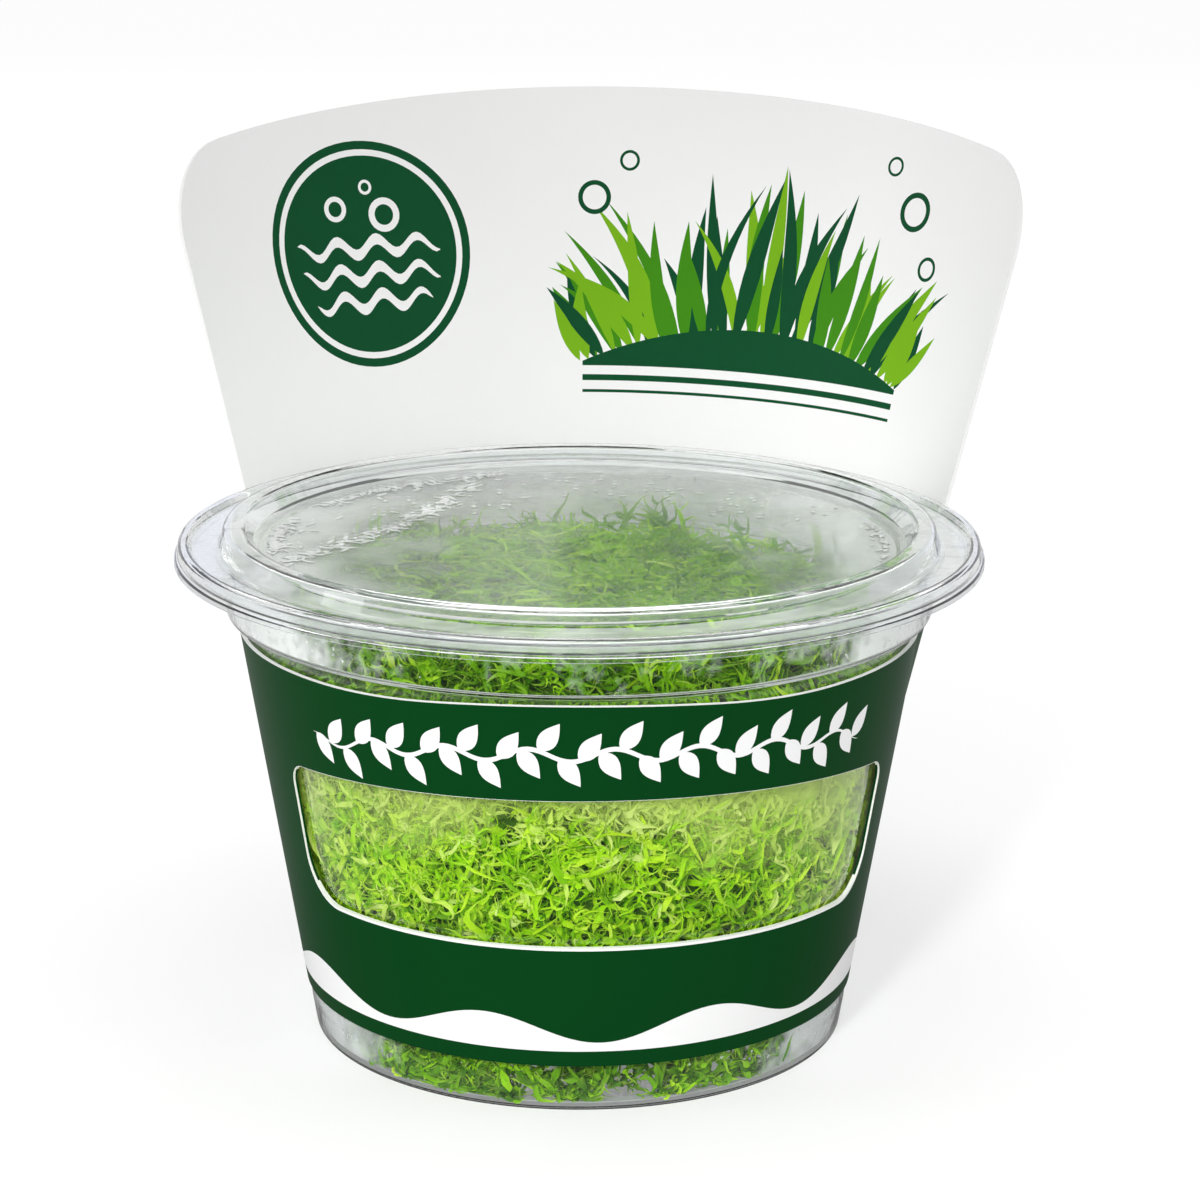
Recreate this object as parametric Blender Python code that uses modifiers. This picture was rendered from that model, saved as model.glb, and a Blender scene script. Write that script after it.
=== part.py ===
# Tissue culture cup of grassleaf bladderwort: a clear formed cup, its snap-on
# lid, a printed card sleeve with a tall header, and the plants that fill it.
# Metres, +Z up. The cup stands on its foot ring at z = 0, the window in the
# sleeve faces -Y and the header rises at the back, on the +Y side.

import math
import random

import bmesh
import bpy
from mathutils import Vector, noise

MM = 0.001
FACE_MERGE = 1e-6           # metres: points of a turned piece that meet on its axis
TUBE_MERGE = 1e-7           # metres: points of a leaf tube's end caps
SAME_LINE = 1e-6            # degrees

# Clear cup, outer surface, in millimetres
RING_STEPS = 40             # facets round every turned piece
CORNER_STEP = 60.0          # degrees turned by one facet of a rounded corner
SHEET = 0.5                 # thickness of the formed plastic
FOOT_RADIUS = 33.16         # where the wall would meet the table
FOOT_BAND = 0.6             # the wall stands out by this below the card
FOOT_BAND_Z = 5.8
FOOT_BAND_SLOPE_Z = 5.55
FOOT_FILLET = 0.4
FOOT_INNER_RADIUS = 30.9
FOOT_INNER_FILLET = 0.8
FLOOR_RADIUS = 29.4
FLOOR_Z = 2.3               # underside of the raised floor
FLOOR_FILLET = 0.9
WALL_TAPER = 0.1652         # radius gained per millimetre of height
STEP_Z = 54.1               # foot of the small step above the sleeve
STEP_FILLET = 0.4
COLLAR_RADIUS = 44.2
COLLAR_Z = 54.75
COLLAR_FILLET = 0.6
RIM_FOOT_RADIUS = 44.8
RIM_FILLET = 0.9
RIM_RADIUS = 49.2
RIM_Z = 61.3                # underside of the rim

# Clear lid, upper surface
PANEL_RADIUS = 40.5
PANEL_Z = 62.9
PANEL_FILLET = 0.7
RING_INNER_RADIUS = 41.9
RING_INNER_FILLET = 0.9
RING_OUTER_RADIUS = 44.3
RING_OUTER_FILLET = 0.8
RING_Z = 65.2
FLANGE_RADIUS = 45.0
FLANGE_Z = 62.7
FLANGE_FILLET = 0.5
BEAD_FOOT_RADIUS = 48.2
BEAD_FOOT_FILLET = 0.4
BEAD_INNER_RADIUS = 48.9
BEAD_INNER_FILLET = 0.5
BEAD_OUTER_RADIUS = 49.95
BEAD_OUTER_FILLET = 0.55
BEAD_Z = 63.5
SKIRT_RADIUS = 50.1
SKIRT_Z = 61.9
LIP_RADIUS = 50.5
LIP_TOP_Z = 61.6
LIP_Z = 60.9

# Card sleeve, inner surface. Azimuths are degrees clockwise from +Y as seen
# from above: 0 is the back, 90 the right-hand side and 180 the front.
CARD = 0.5
CARD_GAP = 0.3              # between the card and the cup
CARD_BOTTOM_Z = 6.3
CARD_TOP_Z = 53.6
CARD_TOP_DIP = 1.1          # the top edge is this much lower at the sides
CARD_DIP_SPAN = 45.0        # degrees from the front to the full dip
CARD_DIP_KNEE = 0.5
CARD_STEP = 6.5             # widest step between two lines of the card
CORNER_TURNS = (0.0, 22.0, 44.0, 66.0, 90.0)    # lines round a card corner
PANEL_LEAN = math.tan(math.radians(15.5))
PANEL_FLANGE_RADIUS = 51.2  # the back panel just clears the lid here
PANEL_FLANGE_Z = 62.0
HEADER_CENTRE = 4.0
HEADER_HALF = 63.8
HEADER_TOP_Z = 111.4
HEADER_ARCH = 6.1           # the top edge falls by this to the side edges
HEADER_CORNER = 11.0
HEADER_FILLET = 3.0         # inner corner where the header leaves the sleeve
HEADER_ARC_RADIUS = 63.0    # radius that the header's corners are measured on
SHOULDER = 34.0             # degrees over which the back panel meets the wrap
RIGHT_SHOULDER = 22.0
SHOULDER_KNEE = 0.65
FLAP = 18.0                 # degrees of the arm tucked inside the back panel
FLAP_INSET = 0.85
WINDOW_CENTRE = 175.9
WINDOW_HALF = 63.4
WINDOW_LOW_Z = 22.3
WINDOW_HIGH_Z = 41.6
WINDOW_ARCH = 1.8           # the window's top edge falls by this to its left side
WINDOW_RIGHT_ARCH = 2.6
WINDOW_RIGHT_SAG = 0.7      # its lower edge falls by this to its right side
WINDOW_LOW_CORNER = 6.0
WINDOW_HIGH_CORNER = 2.8
WINDOW_ARC_RADIUS = 38.0

# Plants
PLANT_GAP = 0.45            # between the plants and the plastic round them
PLANT_TOP_Z = 56.4
PLANT_LUMP = 1.3            # depth of the hollows between leaf clumps
PLANT_LUMP_SIZE = 6.5
PLANT_LUMP_MIDDLE = 0.5     # share of that depth half-way up a clump
PLANT_FINE_SIZE = 3.0       # smaller clumps on top of these
PLANT_FINE_SHARE = 0.5
PLANT_SEGMENTS = 36
PLANT_RINGS = 18
PLANT_SQUARE = 9.0          # how square the mat's outline is in section
LEAF_RADIUS = 0.7
LEAF_BEVEL_STEPS = 1
LEAF_TAPER = 0.45           # a leaf's tip is thinner than its root by this share
LEAF_ROOT_Z = 53.5
LEAF_POINTS = 5
LEAF_CURL = 0.62            # half turns that a leaf's rise runs through
TIP_Z = 60.6                # the highest leaf tip, just below the lid
LEAF_SEED = 7
TUFTS = ((-2.0, 23.0), (16.0, 23.0), (-25.0, 2.0), (24.0, -8.0))
TUFT_LEAVES = 3
TUFT_SCATTER = 0.5          # share of a leaf's step round the tuft
TUFT_RISE = (0.8, 1.0)      # share of the way to the highest tip
TUFT_REACH = (4.0, 6.5)
EDGE_LEAVES = 9
EDGE_LEAF_RADIUS = 32.0
EDGE_SCATTER = 0.4
EDGE_TURN = (1.2, 1.9)      # radians that an edge leaf turns off its radius
EDGE_REACH = (6.0, 9.0)
EDGE_RISE = (3.8, 5.2)

# Colours and gloss, linear
CUP_COLOUR = (0.86, 0.91, 0.92)
CUP_ROUGHNESS = 0.08
LID_COLOUR = (0.88, 0.92, 0.93)
LID_ROUGHNESS = 0.06
CLEAR_ALPHA = 0.3
CLEAR_TRANSMISSION = 0.9
CARD_COLOUR = (0.01, 0.09, 0.03)
CARD_ROUGHNESS = 0.45
LEAF_COLOUR = (0.16, 0.36, 0.02)
LEAF_ROUGHNESS = 0.5


def wall_radius(z):
    """Outer radius of the cup's tapered wall at a height."""
    return FOOT_RADIUS + WALL_TAPER * z


def material(name, colour, roughness, alpha=1.0, transmission=0.0):
    """A Principled material with the colour and gloss of one piece."""
    made = bpy.data.materials.new(name)
    made.use_nodes = True
    shader = made.node_tree.nodes["Principled BSDF"]
    shader.inputs["Base Color"].default_value = (*colour, 1.0)
    shader.inputs["Roughness"].default_value = roughness
    shader.inputs["Metallic"].default_value = 0.0
    shader.inputs["Alpha"].default_value = alpha
    shader.inputs["Transmission Weight"].default_value = transmission
    made.diffuse_color = (*colour, alpha)
    return made


def add_object(name, mesh, collection, surface):
    """Link a mesh as one named object with its own material."""
    mesh.materials.clear()
    mesh.materials.append(surface)
    piece = bpy.data.objects.new(name, mesh)
    collection.objects.link(piece)
    return piece


def rounded(corners):
    """Points of a profile whose corners are (radius, height, fillet)."""
    points = [Vector(corners[0][:2])]
    for before, corner, after in zip(corners, corners[1:], corners[2:]):
        here = Vector(corner[:2])
        fillet = corner[2]
        if fillet == 0.0:
            points.append(here)
            continue
        back = (Vector(before[:2]) - here).normalized()
        ahead = (Vector(after[:2]) - here).normalized()
        turn = math.pi - back.angle(ahead)
        reach = fillet * math.tan(turn / 2)
        centre = here + (back + ahead).normalized() * fillet / math.cos(turn / 2)
        start = (here + back * reach - centre).normalized()
        end = (here + ahead * reach - centre).normalized()
        steps = max(1, math.ceil(math.degrees(turn) / CORNER_STEP))
        for i in range(steps + 1):
            points.append(centre + start.slerp(end, i / steps) * fillet)
    points.append(Vector(corners[-1][:2]))
    return points


def turned_sheet(name, corners, collection, surface):
    """A formed plastic sheet, turned from the profile of its outer surface."""
    points = rounded(corners)
    mesh = bpy.data.meshes.new(name)
    vertices = [(p.x * MM, 0.0, p.y * MM) for p in points]
    edges = [(i, i + 1) for i in range(len(points) - 1)]
    mesh.from_pydata(vertices, edges, [])
    piece = add_object(name, mesh, collection, surface)
    screw = piece.modifiers.new("turn", "SCREW")
    screw.axis = "Z"
    screw.steps = RING_STEPS
    screw.render_steps = RING_STEPS
    screw.use_merge_vertices = True
    screw.merge_threshold = FACE_MERGE
    screw.use_smooth_shade = True
    shell = piece.modifiers.new("sheet", "SOLIDIFY")
    shell.thickness = SHEET * MM
    shell.offset = -1.0
    shell.use_even_offset = True
    shell.use_quality_normals = True
    return piece


def make_cup(collection):
    """The cup, from its rim down the outside and in under the floor."""
    corners = [
        (RIM_RADIUS, RIM_Z, 0.0),
        (RIM_FOOT_RADIUS, RIM_Z, RIM_FILLET),
        (COLLAR_RADIUS, COLLAR_Z, COLLAR_FILLET),
        (wall_radius(STEP_Z), STEP_Z, STEP_FILLET),
        (wall_radius(FOOT_BAND_Z), FOOT_BAND_Z, 0.0),
        (wall_radius(FOOT_BAND_SLOPE_Z) + FOOT_BAND, FOOT_BAND_SLOPE_Z, 0.0),
        (FOOT_RADIUS + FOOT_BAND, 0.0, FOOT_FILLET),
        (FOOT_INNER_RADIUS, 0.0, FOOT_INNER_FILLET),
        (FLOOR_RADIUS, FLOOR_Z, FLOOR_FILLET),
        (0.0, FLOOR_Z, 0.0),
    ]
    clear = material("clear cup plastic", CUP_COLOUR, CUP_ROUGHNESS,
                     CLEAR_ALPHA, CLEAR_TRANSMISSION)
    return turned_sheet("cup", corners, collection, clear)


def make_lid(collection):
    """The lid, from the middle of its panel out and down to its lip."""
    corners = [
        (0.0, PANEL_Z, 0.0),
        (PANEL_RADIUS, PANEL_Z, PANEL_FILLET),
        (RING_INNER_RADIUS, RING_Z, RING_INNER_FILLET),
        (RING_OUTER_RADIUS, RING_Z, RING_OUTER_FILLET),
        (FLANGE_RADIUS, FLANGE_Z, FLANGE_FILLET),
        (BEAD_FOOT_RADIUS, FLANGE_Z, BEAD_FOOT_FILLET),
        (BEAD_INNER_RADIUS, BEAD_Z, BEAD_INNER_FILLET),
        (BEAD_OUTER_RADIUS, BEAD_Z, BEAD_OUTER_FILLET),
        (SKIRT_RADIUS, SKIRT_Z, 0.0),
        (LIP_RADIUS, LIP_TOP_Z, 0.0),
        (LIP_RADIUS, LIP_Z, 0.0),
    ]
    clear = material("clear lid plastic", LID_COLOUR, LID_ROUGHNESS,
                     CLEAR_ALPHA, CLEAR_TRANSMISSION)
    return turned_sheet("lid", corners, collection, clear)


def ease(t, knee):
    """Rise from 0 to 1 along two parabolas that meet at the knee."""
    t = min(1.0, max(0.0, t))
    if t <= knee:
        return t * t / knee
    return 1.0 - (1.0 - t) ** 2 / (1.0 - knee)


def corner_drop(distance, radius):
    """How far a round corner falls short at a distance from the side edge."""
    if distance >= radius:
        return 0.0
    short = radius - max(0.0, distance)
    return radius - math.sqrt(radius * radius - short * short)


def arc_length(degrees, radius):
    """Length along an arc of that radius."""
    return math.radians(degrees) * radius


def card_radius(azimuth, z):
    """Inner radius of the card: snug round the cup, leaning out at the back."""
    snug = wall_radius(z) + CARD_GAP
    panel = PANEL_FLANGE_RADIUS + (z - PANEL_FLANGE_Z) * PANEL_LEAN
    right_edge = HEADER_CENTRE + HEADER_HALF
    left_edge = HEADER_CENTRE - HEADER_HALF + 360.0
    if azimuth < 180.0:
        near = (right_edge + RIGHT_SHOULDER - azimuth) / RIGHT_SHOULDER
        share = ease(near, SHOULDER_KNEE)
        return snug + (panel - snug) * share
    share = ease((azimuth - left_edge + SHOULDER) / SHOULDER, SHOULDER_KNEE)
    return snug + (panel - FLAP_INSET - snug) * share


def card_point(azimuth, z):
    """A point of the card's inner surface."""
    radius = card_radius(azimuth, z)
    turn = math.radians(azimuth)
    return Vector((radius * math.sin(turn), radius * math.cos(turn), z)) * MM


def header_top(azimuth):
    """Height of the header's arched top edge, with its round corners."""
    off = azimuth - HEADER_CENTRE
    inset = arc_length(HEADER_HALF - abs(off), HEADER_ARC_RADIUS)
    arch = HEADER_ARCH * (off / HEADER_HALF) ** 2
    return HEADER_TOP_Z - arch - corner_drop(inset, HEADER_CORNER)


def sleeve_top(azimuth):
    """Height of the sleeve's top edge, with the fillet beside the header."""
    share = ease(abs(azimuth - 180.0) / CARD_DIP_SPAN, CARD_DIP_KNEE)
    past = azimuth - HEADER_CENTRE - HEADER_HALF
    rise = corner_drop(arc_length(past, WINDOW_ARC_RADIUS), HEADER_FILLET)
    return CARD_TOP_Z - CARD_TOP_DIP * share + rise


def window_edges(azimuth):
    """Heights of the window's lower and upper edge, with round corners."""
    off = min(WINDOW_HALF, abs(azimuth - WINDOW_CENTRE))
    inset = arc_length(WINDOW_HALF - off, WINDOW_ARC_RADIUS)
    fall = (off / WINDOW_HALF) ** 2
    low = WINDOW_LOW_Z + corner_drop(inset, WINDOW_LOW_CORNER)
    high = WINDOW_HIGH_Z - corner_drop(inset, WINDOW_HIGH_CORNER)
    if azimuth < WINDOW_CENTRE:
        return low - WINDOW_RIGHT_SAG * fall, high - WINDOW_RIGHT_ARCH * fall
    return low, high - WINDOW_ARCH * fall


def corner_lines(edge, radius, arc_radius, direction):
    """Azimuths that follow a round corner inwards from a side edge."""
    lines = []
    for turn in CORNER_TURNS:
        inset = radius * (1.0 - math.cos(math.radians(turn)))
        lines.append(edge + direction * math.degrees(inset / arc_radius))
    return lines


def card_lines():
    """Azimuths of the card's lines, close together round every corner."""
    start = HEADER_CENTRE - HEADER_HALF
    end = HEADER_CENTRE + HEADER_HALF
    left = WINDOW_CENTRE + WINDOW_HALF
    right = WINDOW_CENTRE - WINDOW_HALF
    lines = corner_lines(start, HEADER_CORNER, HEADER_ARC_RADIUS, 1)
    lines += corner_lines(end, HEADER_CORNER, HEADER_ARC_RADIUS, -1)
    lines += corner_lines(end, HEADER_FILLET, WINDOW_ARC_RADIUS, 1)[1:]
    for edge, inward in ((left, -1), (right, 1)):
        lines += corner_lines(edge, WINDOW_LOW_CORNER, WINDOW_ARC_RADIUS, inward)
    lines += [end + RIGHT_SHOULDER, start + 360.0 - SHOULDER, start + 360.0]
    lines += [start + 360.0 + FLAP]
    lines.sort()
    filled = [lines[0]]
    for line in lines[1:]:
        gap = line - filled[-1]
        steps = max(1, math.ceil(gap / CARD_STEP))
        first = filled[-1]
        filled += [first + gap * (i + 1) / steps for i in range(steps)]
    return filled


def make_card(collection):
    """The die-cut card: one strip with a header at its start and a flap."""
    lines = card_lines()
    header_end = HEADER_CENTRE + HEADER_HALF
    build = bmesh.new()
    columns = []
    for azimuth in lines:
        low, high = window_edges(azimuth)
        heights = [CARD_BOTTOM_Z, low, high, sleeve_top(azimuth)]
        if azimuth <= header_end + SAME_LINE:
            heights.append(header_top(azimuth))
        columns.append([build.verts.new(card_point(azimuth, z)) for z in heights])
    for i in range(len(lines) - 1):
        middle = (lines[i] + lines[i + 1]) / 2
        here, there = columns[i], columns[i + 1]
        for row in range(min(len(here), len(there)) - 1):
            in_window = abs(middle - WINDOW_CENTRE) < WINDOW_HALF
            if row == 1 and in_window:
                continue
            build.faces.new((here[row], here[row + 1], there[row + 1], there[row]))
    mesh = bpy.data.meshes.new("card_sleeve")
    build.to_mesh(mesh)
    build.free()
    mesh.shade_smooth()
    printed = material("printed card", CARD_COLOUR, CARD_ROUGHNESS)
    piece = add_object("card_sleeve", mesh, collection, printed)
    shell = piece.modifiers.new("card", "SOLIDIFY")
    shell.thickness = CARD * MM
    shell.offset = 1.0
    shell.use_even_offset = True
    shell.use_quality_normals = True
    return piece


def mat_point(direction):
    """Where a ray from the mat's middle leaves its cup-shaped outline."""
    bottom = FLOOR_Z + SHEET + PLANT_GAP
    middle = (bottom + PLANT_TOP_Z) / 2
    half = (PLANT_TOP_Z - bottom) / 2
    across = math.hypot(direction.x, direction.y)
    square = (across ** PLANT_SQUARE + abs(direction.z) ** PLANT_SQUARE)
    scale = square ** (-1.0 / PLANT_SQUARE)
    z = middle + half * direction.z * scale
    radius = (wall_radius(z) - SHEET - PLANT_GAP) * across * scale
    foot = FOOT_INNER_RADIUS - PLANT_GAP
    if z < FOOT_INNER_RADIUS - FLOOR_RADIUS + bottom:
        radius = min(radius, foot)
    turn = math.atan2(direction.y, direction.x)
    return Vector((radius * math.cos(turn), radius * math.sin(turn), z))


def lump_depth(point):
    """How far the surface lies back between two clumps of leaves."""
    wave = noise.noise(point / PLANT_LUMP_SIZE)
    wave += PLANT_FINE_SHARE * noise.noise(point / PLANT_FINE_SIZE)
    return PLANT_LUMP * min(1.0, max(0.0, PLANT_LUMP_MIDDLE + wave))


def make_mat(collection, surface):
    """The dense tangle of leaves, a cup-shaped body with a lumpy surface."""
    build = bmesh.new()
    bmesh.ops.create_uvsphere(
        build, u_segments=PLANT_SEGMENTS, v_segments=PLANT_RINGS, radius=1.0)
    centre = Vector((0.0, 0.0, PLANT_TOP_Z / 2))
    for vertex in build.verts:
        point = mat_point(vertex.co.normalized())
        inward = (centre - point).normalized()
        vertex.co = (point + inward * lump_depth(point)) * MM
    mesh = bpy.data.meshes.new("plant_mat")
    build.to_mesh(mesh)
    build.free()
    mesh.shade_smooth()
    return add_object("plant_mat", mesh, collection, surface)


def leaf_path(root, heading, reach, rise):
    """Points of one leaf that rises from the mat and curls over."""
    points = []
    for i in range(LEAF_POINTS):
        t = i / (LEAF_POINTS - 1)
        out = reach * math.sin(t * math.pi / 2) * t
        up = rise * math.sin(t * math.pi * LEAF_CURL)
        side = Vector((math.cos(heading), math.sin(heading), 0.0)) * out
        points.append((root + side + Vector((0.0, 0.0, up))) * MM)
    return points


def leaf_plan():
    """Root, heading, reach and rise of every leaf that stands proud."""
    rng = random.Random(LEAF_SEED)
    plan = []
    for x, y in TUFTS:
        for i in range(TUFT_LEAVES):
            heading = math.tau * (i + rng.random() * TUFT_SCATTER) / TUFT_LEAVES
            root = Vector((x, y, LEAF_ROOT_Z))
            rise = (TIP_Z - LEAF_RADIUS - LEAF_ROOT_Z) * rng.uniform(*TUFT_RISE)
            plan.append((root, heading, rng.uniform(*TUFT_REACH), rise))
    for i in range(EDGE_LEAVES):
        turn = math.tau * (i + rng.random() * EDGE_SCATTER) / EDGE_LEAVES
        root = Vector((math.cos(turn), math.sin(turn), 0.0)) * EDGE_LEAF_RADIUS
        root.z = LEAF_ROOT_Z
        heading = turn + rng.choice((-1, 1)) * rng.uniform(*EDGE_TURN)
        reach = rng.uniform(*EDGE_REACH)
        plan.append((root, heading, reach, rng.uniform(*EDGE_RISE)))
    return plan


def leaf_mesh(number, points):
    """One leaf as a closed mesh tube."""
    curve = bpy.data.curves.new(f"leaf path {number}", "CURVE")
    curve.dimensions = "3D"
    curve.bevel_depth = LEAF_RADIUS * MM
    curve.bevel_resolution = LEAF_BEVEL_STEPS
    curve.use_fill_caps = True
    spline = curve.splines.new("POLY")
    spline.points.add(len(points) - 1)
    for i, point in enumerate(points):
        spline.points[i].co = (*point, 1.0)
        spline.points[i].radius = 1.0 - LEAF_TAPER * i / (len(points) - 1)
    source = bpy.data.objects.new(f"leaf path {number}", curve)
    bpy.context.scene.collection.objects.link(source)
    graph = bpy.context.evaluated_depsgraph_get()
    mesh = bpy.data.meshes.new_from_object(source.evaluated_get(graph))
    bpy.data.objects.remove(source)
    build = bmesh.new()
    build.from_mesh(mesh)
    bmesh.ops.remove_doubles(build, verts=build.verts, dist=TUBE_MERGE)
    bmesh.ops.recalc_face_normals(build, faces=build.faces)
    build.to_mesh(mesh)
    build.free()
    return mesh


def make_plants(collection, cutters):
    """The mat with its standing leaves grown into it."""
    green = material("bladderwort leaf", LEAF_COLOUR, LEAF_ROUGHNESS)
    mat = make_mat(collection, green)
    for number, (root, heading, reach, rise) in enumerate(leaf_plan()):
        mesh = leaf_mesh(number, leaf_path(root, heading, reach, rise))
        leaf = add_object(f"leaf {number}", mesh, cutters, green)
        leaf.hide_render = True
        leaf.display_type = "WIRE"
        grow = mat.modifiers.new(f"grow leaf {number}", "BOOLEAN")
        grow.operation = "UNION"
        grow.object = leaf
    return mat


def world_box(pieces):
    """Lowest and highest corner of the evaluated pieces."""
    graph = bpy.context.evaluated_depsgraph_get()
    corners = []
    for piece in pieces:
        shape = piece.evaluated_get(graph)
        corners += [shape.matrix_world @ Vector(c) for c in shape.bound_box]
    low = Vector([min(c[i] for c in corners) for i in range(3)])
    high = Vector([max(c[i] for c in corners) for i in range(3)])
    return low, high


def main():
    for old in list(bpy.data.objects):
        bpy.data.objects.remove(old)
    parts = bpy.data.collections.new("tissue culture cup")
    cutters = bpy.data.collections.new("cutters")
    for collection in (parts, cutters):
        bpy.context.scene.collection.children.link(collection)
    pieces = [make_cup(parts), make_lid(parts), make_card(parts)]
    pieces.append(make_plants(parts, cutters))
    centre = bpy.data.objects.new("cup axis", None)
    parts.objects.link(centre)
    for piece in pieces + list(cutters.objects):
        piece.parent = centre
    bpy.context.view_layer.update()
    low, high = world_box(pieces)
    centre.location = (-(low.x + high.x) / 2, -(low.y + high.y) / 2, 0.0)
    bpy.context.view_layer.update()


main()
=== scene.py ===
import math

import bmesh
import bpy
import numpy as np
from mathutils import Matrix, Vector, geometry, noise


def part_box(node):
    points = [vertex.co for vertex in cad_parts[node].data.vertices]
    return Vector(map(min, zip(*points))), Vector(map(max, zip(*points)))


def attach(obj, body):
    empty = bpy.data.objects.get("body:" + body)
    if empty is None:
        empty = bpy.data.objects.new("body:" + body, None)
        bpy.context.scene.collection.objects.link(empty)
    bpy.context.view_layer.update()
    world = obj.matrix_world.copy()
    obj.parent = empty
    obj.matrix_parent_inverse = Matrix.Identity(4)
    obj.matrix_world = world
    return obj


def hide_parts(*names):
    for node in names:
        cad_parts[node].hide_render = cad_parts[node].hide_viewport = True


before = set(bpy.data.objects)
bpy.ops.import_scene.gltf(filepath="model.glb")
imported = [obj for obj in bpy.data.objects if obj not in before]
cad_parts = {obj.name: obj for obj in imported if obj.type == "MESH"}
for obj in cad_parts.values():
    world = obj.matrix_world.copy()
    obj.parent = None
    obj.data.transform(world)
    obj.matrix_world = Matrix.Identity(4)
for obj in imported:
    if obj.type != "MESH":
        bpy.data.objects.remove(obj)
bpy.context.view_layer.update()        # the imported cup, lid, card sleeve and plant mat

mm = 0.001
cupLow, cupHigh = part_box("cup")
axisX = (cupLow.x + cupHigh.x) / 2   # the cup's own axis, a little left of and before the origin
axisY = (cupLow.y + cupHigh.y) / 2

cup = {                  # outer surface of the formed cup, millimetres; fillets round its corners
    "sheet": 0.5,
    "footRadius": 33.16,
    "footBand": 0.6,     # the wall stands out by this below the card
    "footBandZ": 6.9,
    "footSlopeZ": 4.0,
    "footCurve": 4.0,
    "footFillet": 0.4,
    "taper": 0.1652,
    "footInner": 30.9,
    "footInnerFillet": 0.8,
    "floorRadius": 29.4,
    "floorZ": 2.3,
    "floorFillet": 0.9,
    "stepZ": 54.1,
    "stepFillet": 0.4,
    "collarRadius": 44.2,
    "collarZ": 54.75,
    "collarFillet": 0.6,
    "collarTaper": 0.09,
    "rimFoot": 44.8,
    "rimRadius": 49.2,
    "rimZ": 61.3,
    "rimFillet": 0.9,
}
turned = {
    "steps": 180,        # facets round every turned piece
    "arcStep": 15.0,     # degrees turned by one facet of a rounded corner
    "merge": 1e-6,
    "sharpAngle": 40.0,
}


def wallRadius(z):
    return cup["footRadius"] + cup["taper"] * z


def collarInside(z):
    return cup["collarRadius"] + (z - cup["collarZ"]) * cup["collarTaper"] - cup["sheet"]


def onAxis(x, y, z):
    return Vector((axisX + x * mm, axisY + y * mm, z * mm))


# Camera, floor and light
view = {
    "lens": 105.567,
    "place": (2.59, -427.52, 169.92),   # from the cup's axis, millimetres
    "target": (2.59, 0.0, 54.7),
    "roll": 0.253,
}
studio = {
    "sky": 0.725,         # light on the object from all round
    "backdrop": 0.99,     # what the camera sees behind it
    # bands that the plastic mirrors, from straight down to straight up, and their shade towards the front
    "bands": ((0.0, 0.9), (0.5, (0.92, 0.94, 1.0)), (0.62, (0.92, 0.95, 1.04)), (0.69, (0.72, 0.75, 0.80)),
              (0.72, 1.2), (0.95, 1.25), (1.0, 1.0)),
    "frontShade": ((0.0, 1.0), (0.3, 0.95), (0.6, 0.7), (1.0, 0.65)),
    "floorReach": 6.0,
    "floorColour": 0.5,
    "footShadowGlow": 0.505,
    "floorGlow": 0.592,
    "farGlow": 0.61,
    "darkCentre": (0.0, -0.14, 0.0),   # middle of the floor patch that mirrors dark in the front
    "darkPatch": ((0.0, 0.08), (0.10, 0.10), (0.18, 0.45), (0.5, 0.9)),
    "footPatch": ((0.048, 0.3), (0.062, 0.0)),   # the floor about the foot mirrors brighter again
    "keyPlace": (-0.10, -0.72, 0.85),
    "keySize": (0.55, 0.35),
    "keyPower": 1.0,
    "sidePlace": (-0.85, -0.20, 0.45),
    "sideSize": (0.25, 0.5),
    "sidePower": 0.7,
    "frontPlace": (-0.22, -0.72, 0.40),
    "frontSize": (0.12, 0.12),
    "frontPower": 0.035,
    "frontSpread": 13.0,
    "stripPlace": (0.05, 0.8, 0.55),
    "stripSize": (0.75, 0.10),
    "stripPower": 0.95,
    "bouncePlace": (-0.006, 0.004, 0.0672),   # light that the lid throws back up at the card
    "bounceSize": (0.085, 0.045),
    "bouncePower": 0.011,
    "middle": (0.0, 0.0, 0.06),        # where the softboxes point
    "frontTarget": (0.0, -0.04, 0.028),
    "bounceTarget": (-0.016, 0.084, 0.1272),
}


def makeCamera():
    data = bpy.data.cameras.new("camera")
    data.lens = view["lens"]
    data.sensor_width = 36.0
    camera = bpy.data.objects.new("camera", data)
    bpy.context.scene.collection.objects.link(camera)
    place = onAxis(*view["place"])
    back = (place - onAxis(*view["target"])).normalized()
    right = Vector((0, 0, 1)).cross(back).normalized()
    up = back.cross(right)
    roll = math.radians(view["roll"])
    tiltedRight = right * math.cos(roll) + up * math.sin(roll)
    tiltedUp = back.cross(tiltedRight)
    turn = Matrix((tiltedRight, tiltedUp, back)).transposed()
    camera.matrix_world = Matrix.Translation(place) @ turn.to_4x4()
    bpy.context.scene.camera = camera


def areaLight(name, place, target, size, power):
    data = bpy.data.lights.new(name, "AREA")
    data.shape = "RECTANGLE"
    data.size, data.size_y = size
    data.energy = power
    light = bpy.data.objects.new(name, data)
    bpy.context.scene.collection.objects.link(light)
    light.location = Vector(place)
    light.rotation_mode = "QUATERNION"
    light.rotation_quaternion = (Vector(place) - Vector(target)).to_track_quat("Z", "Y")
    return light


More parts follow.
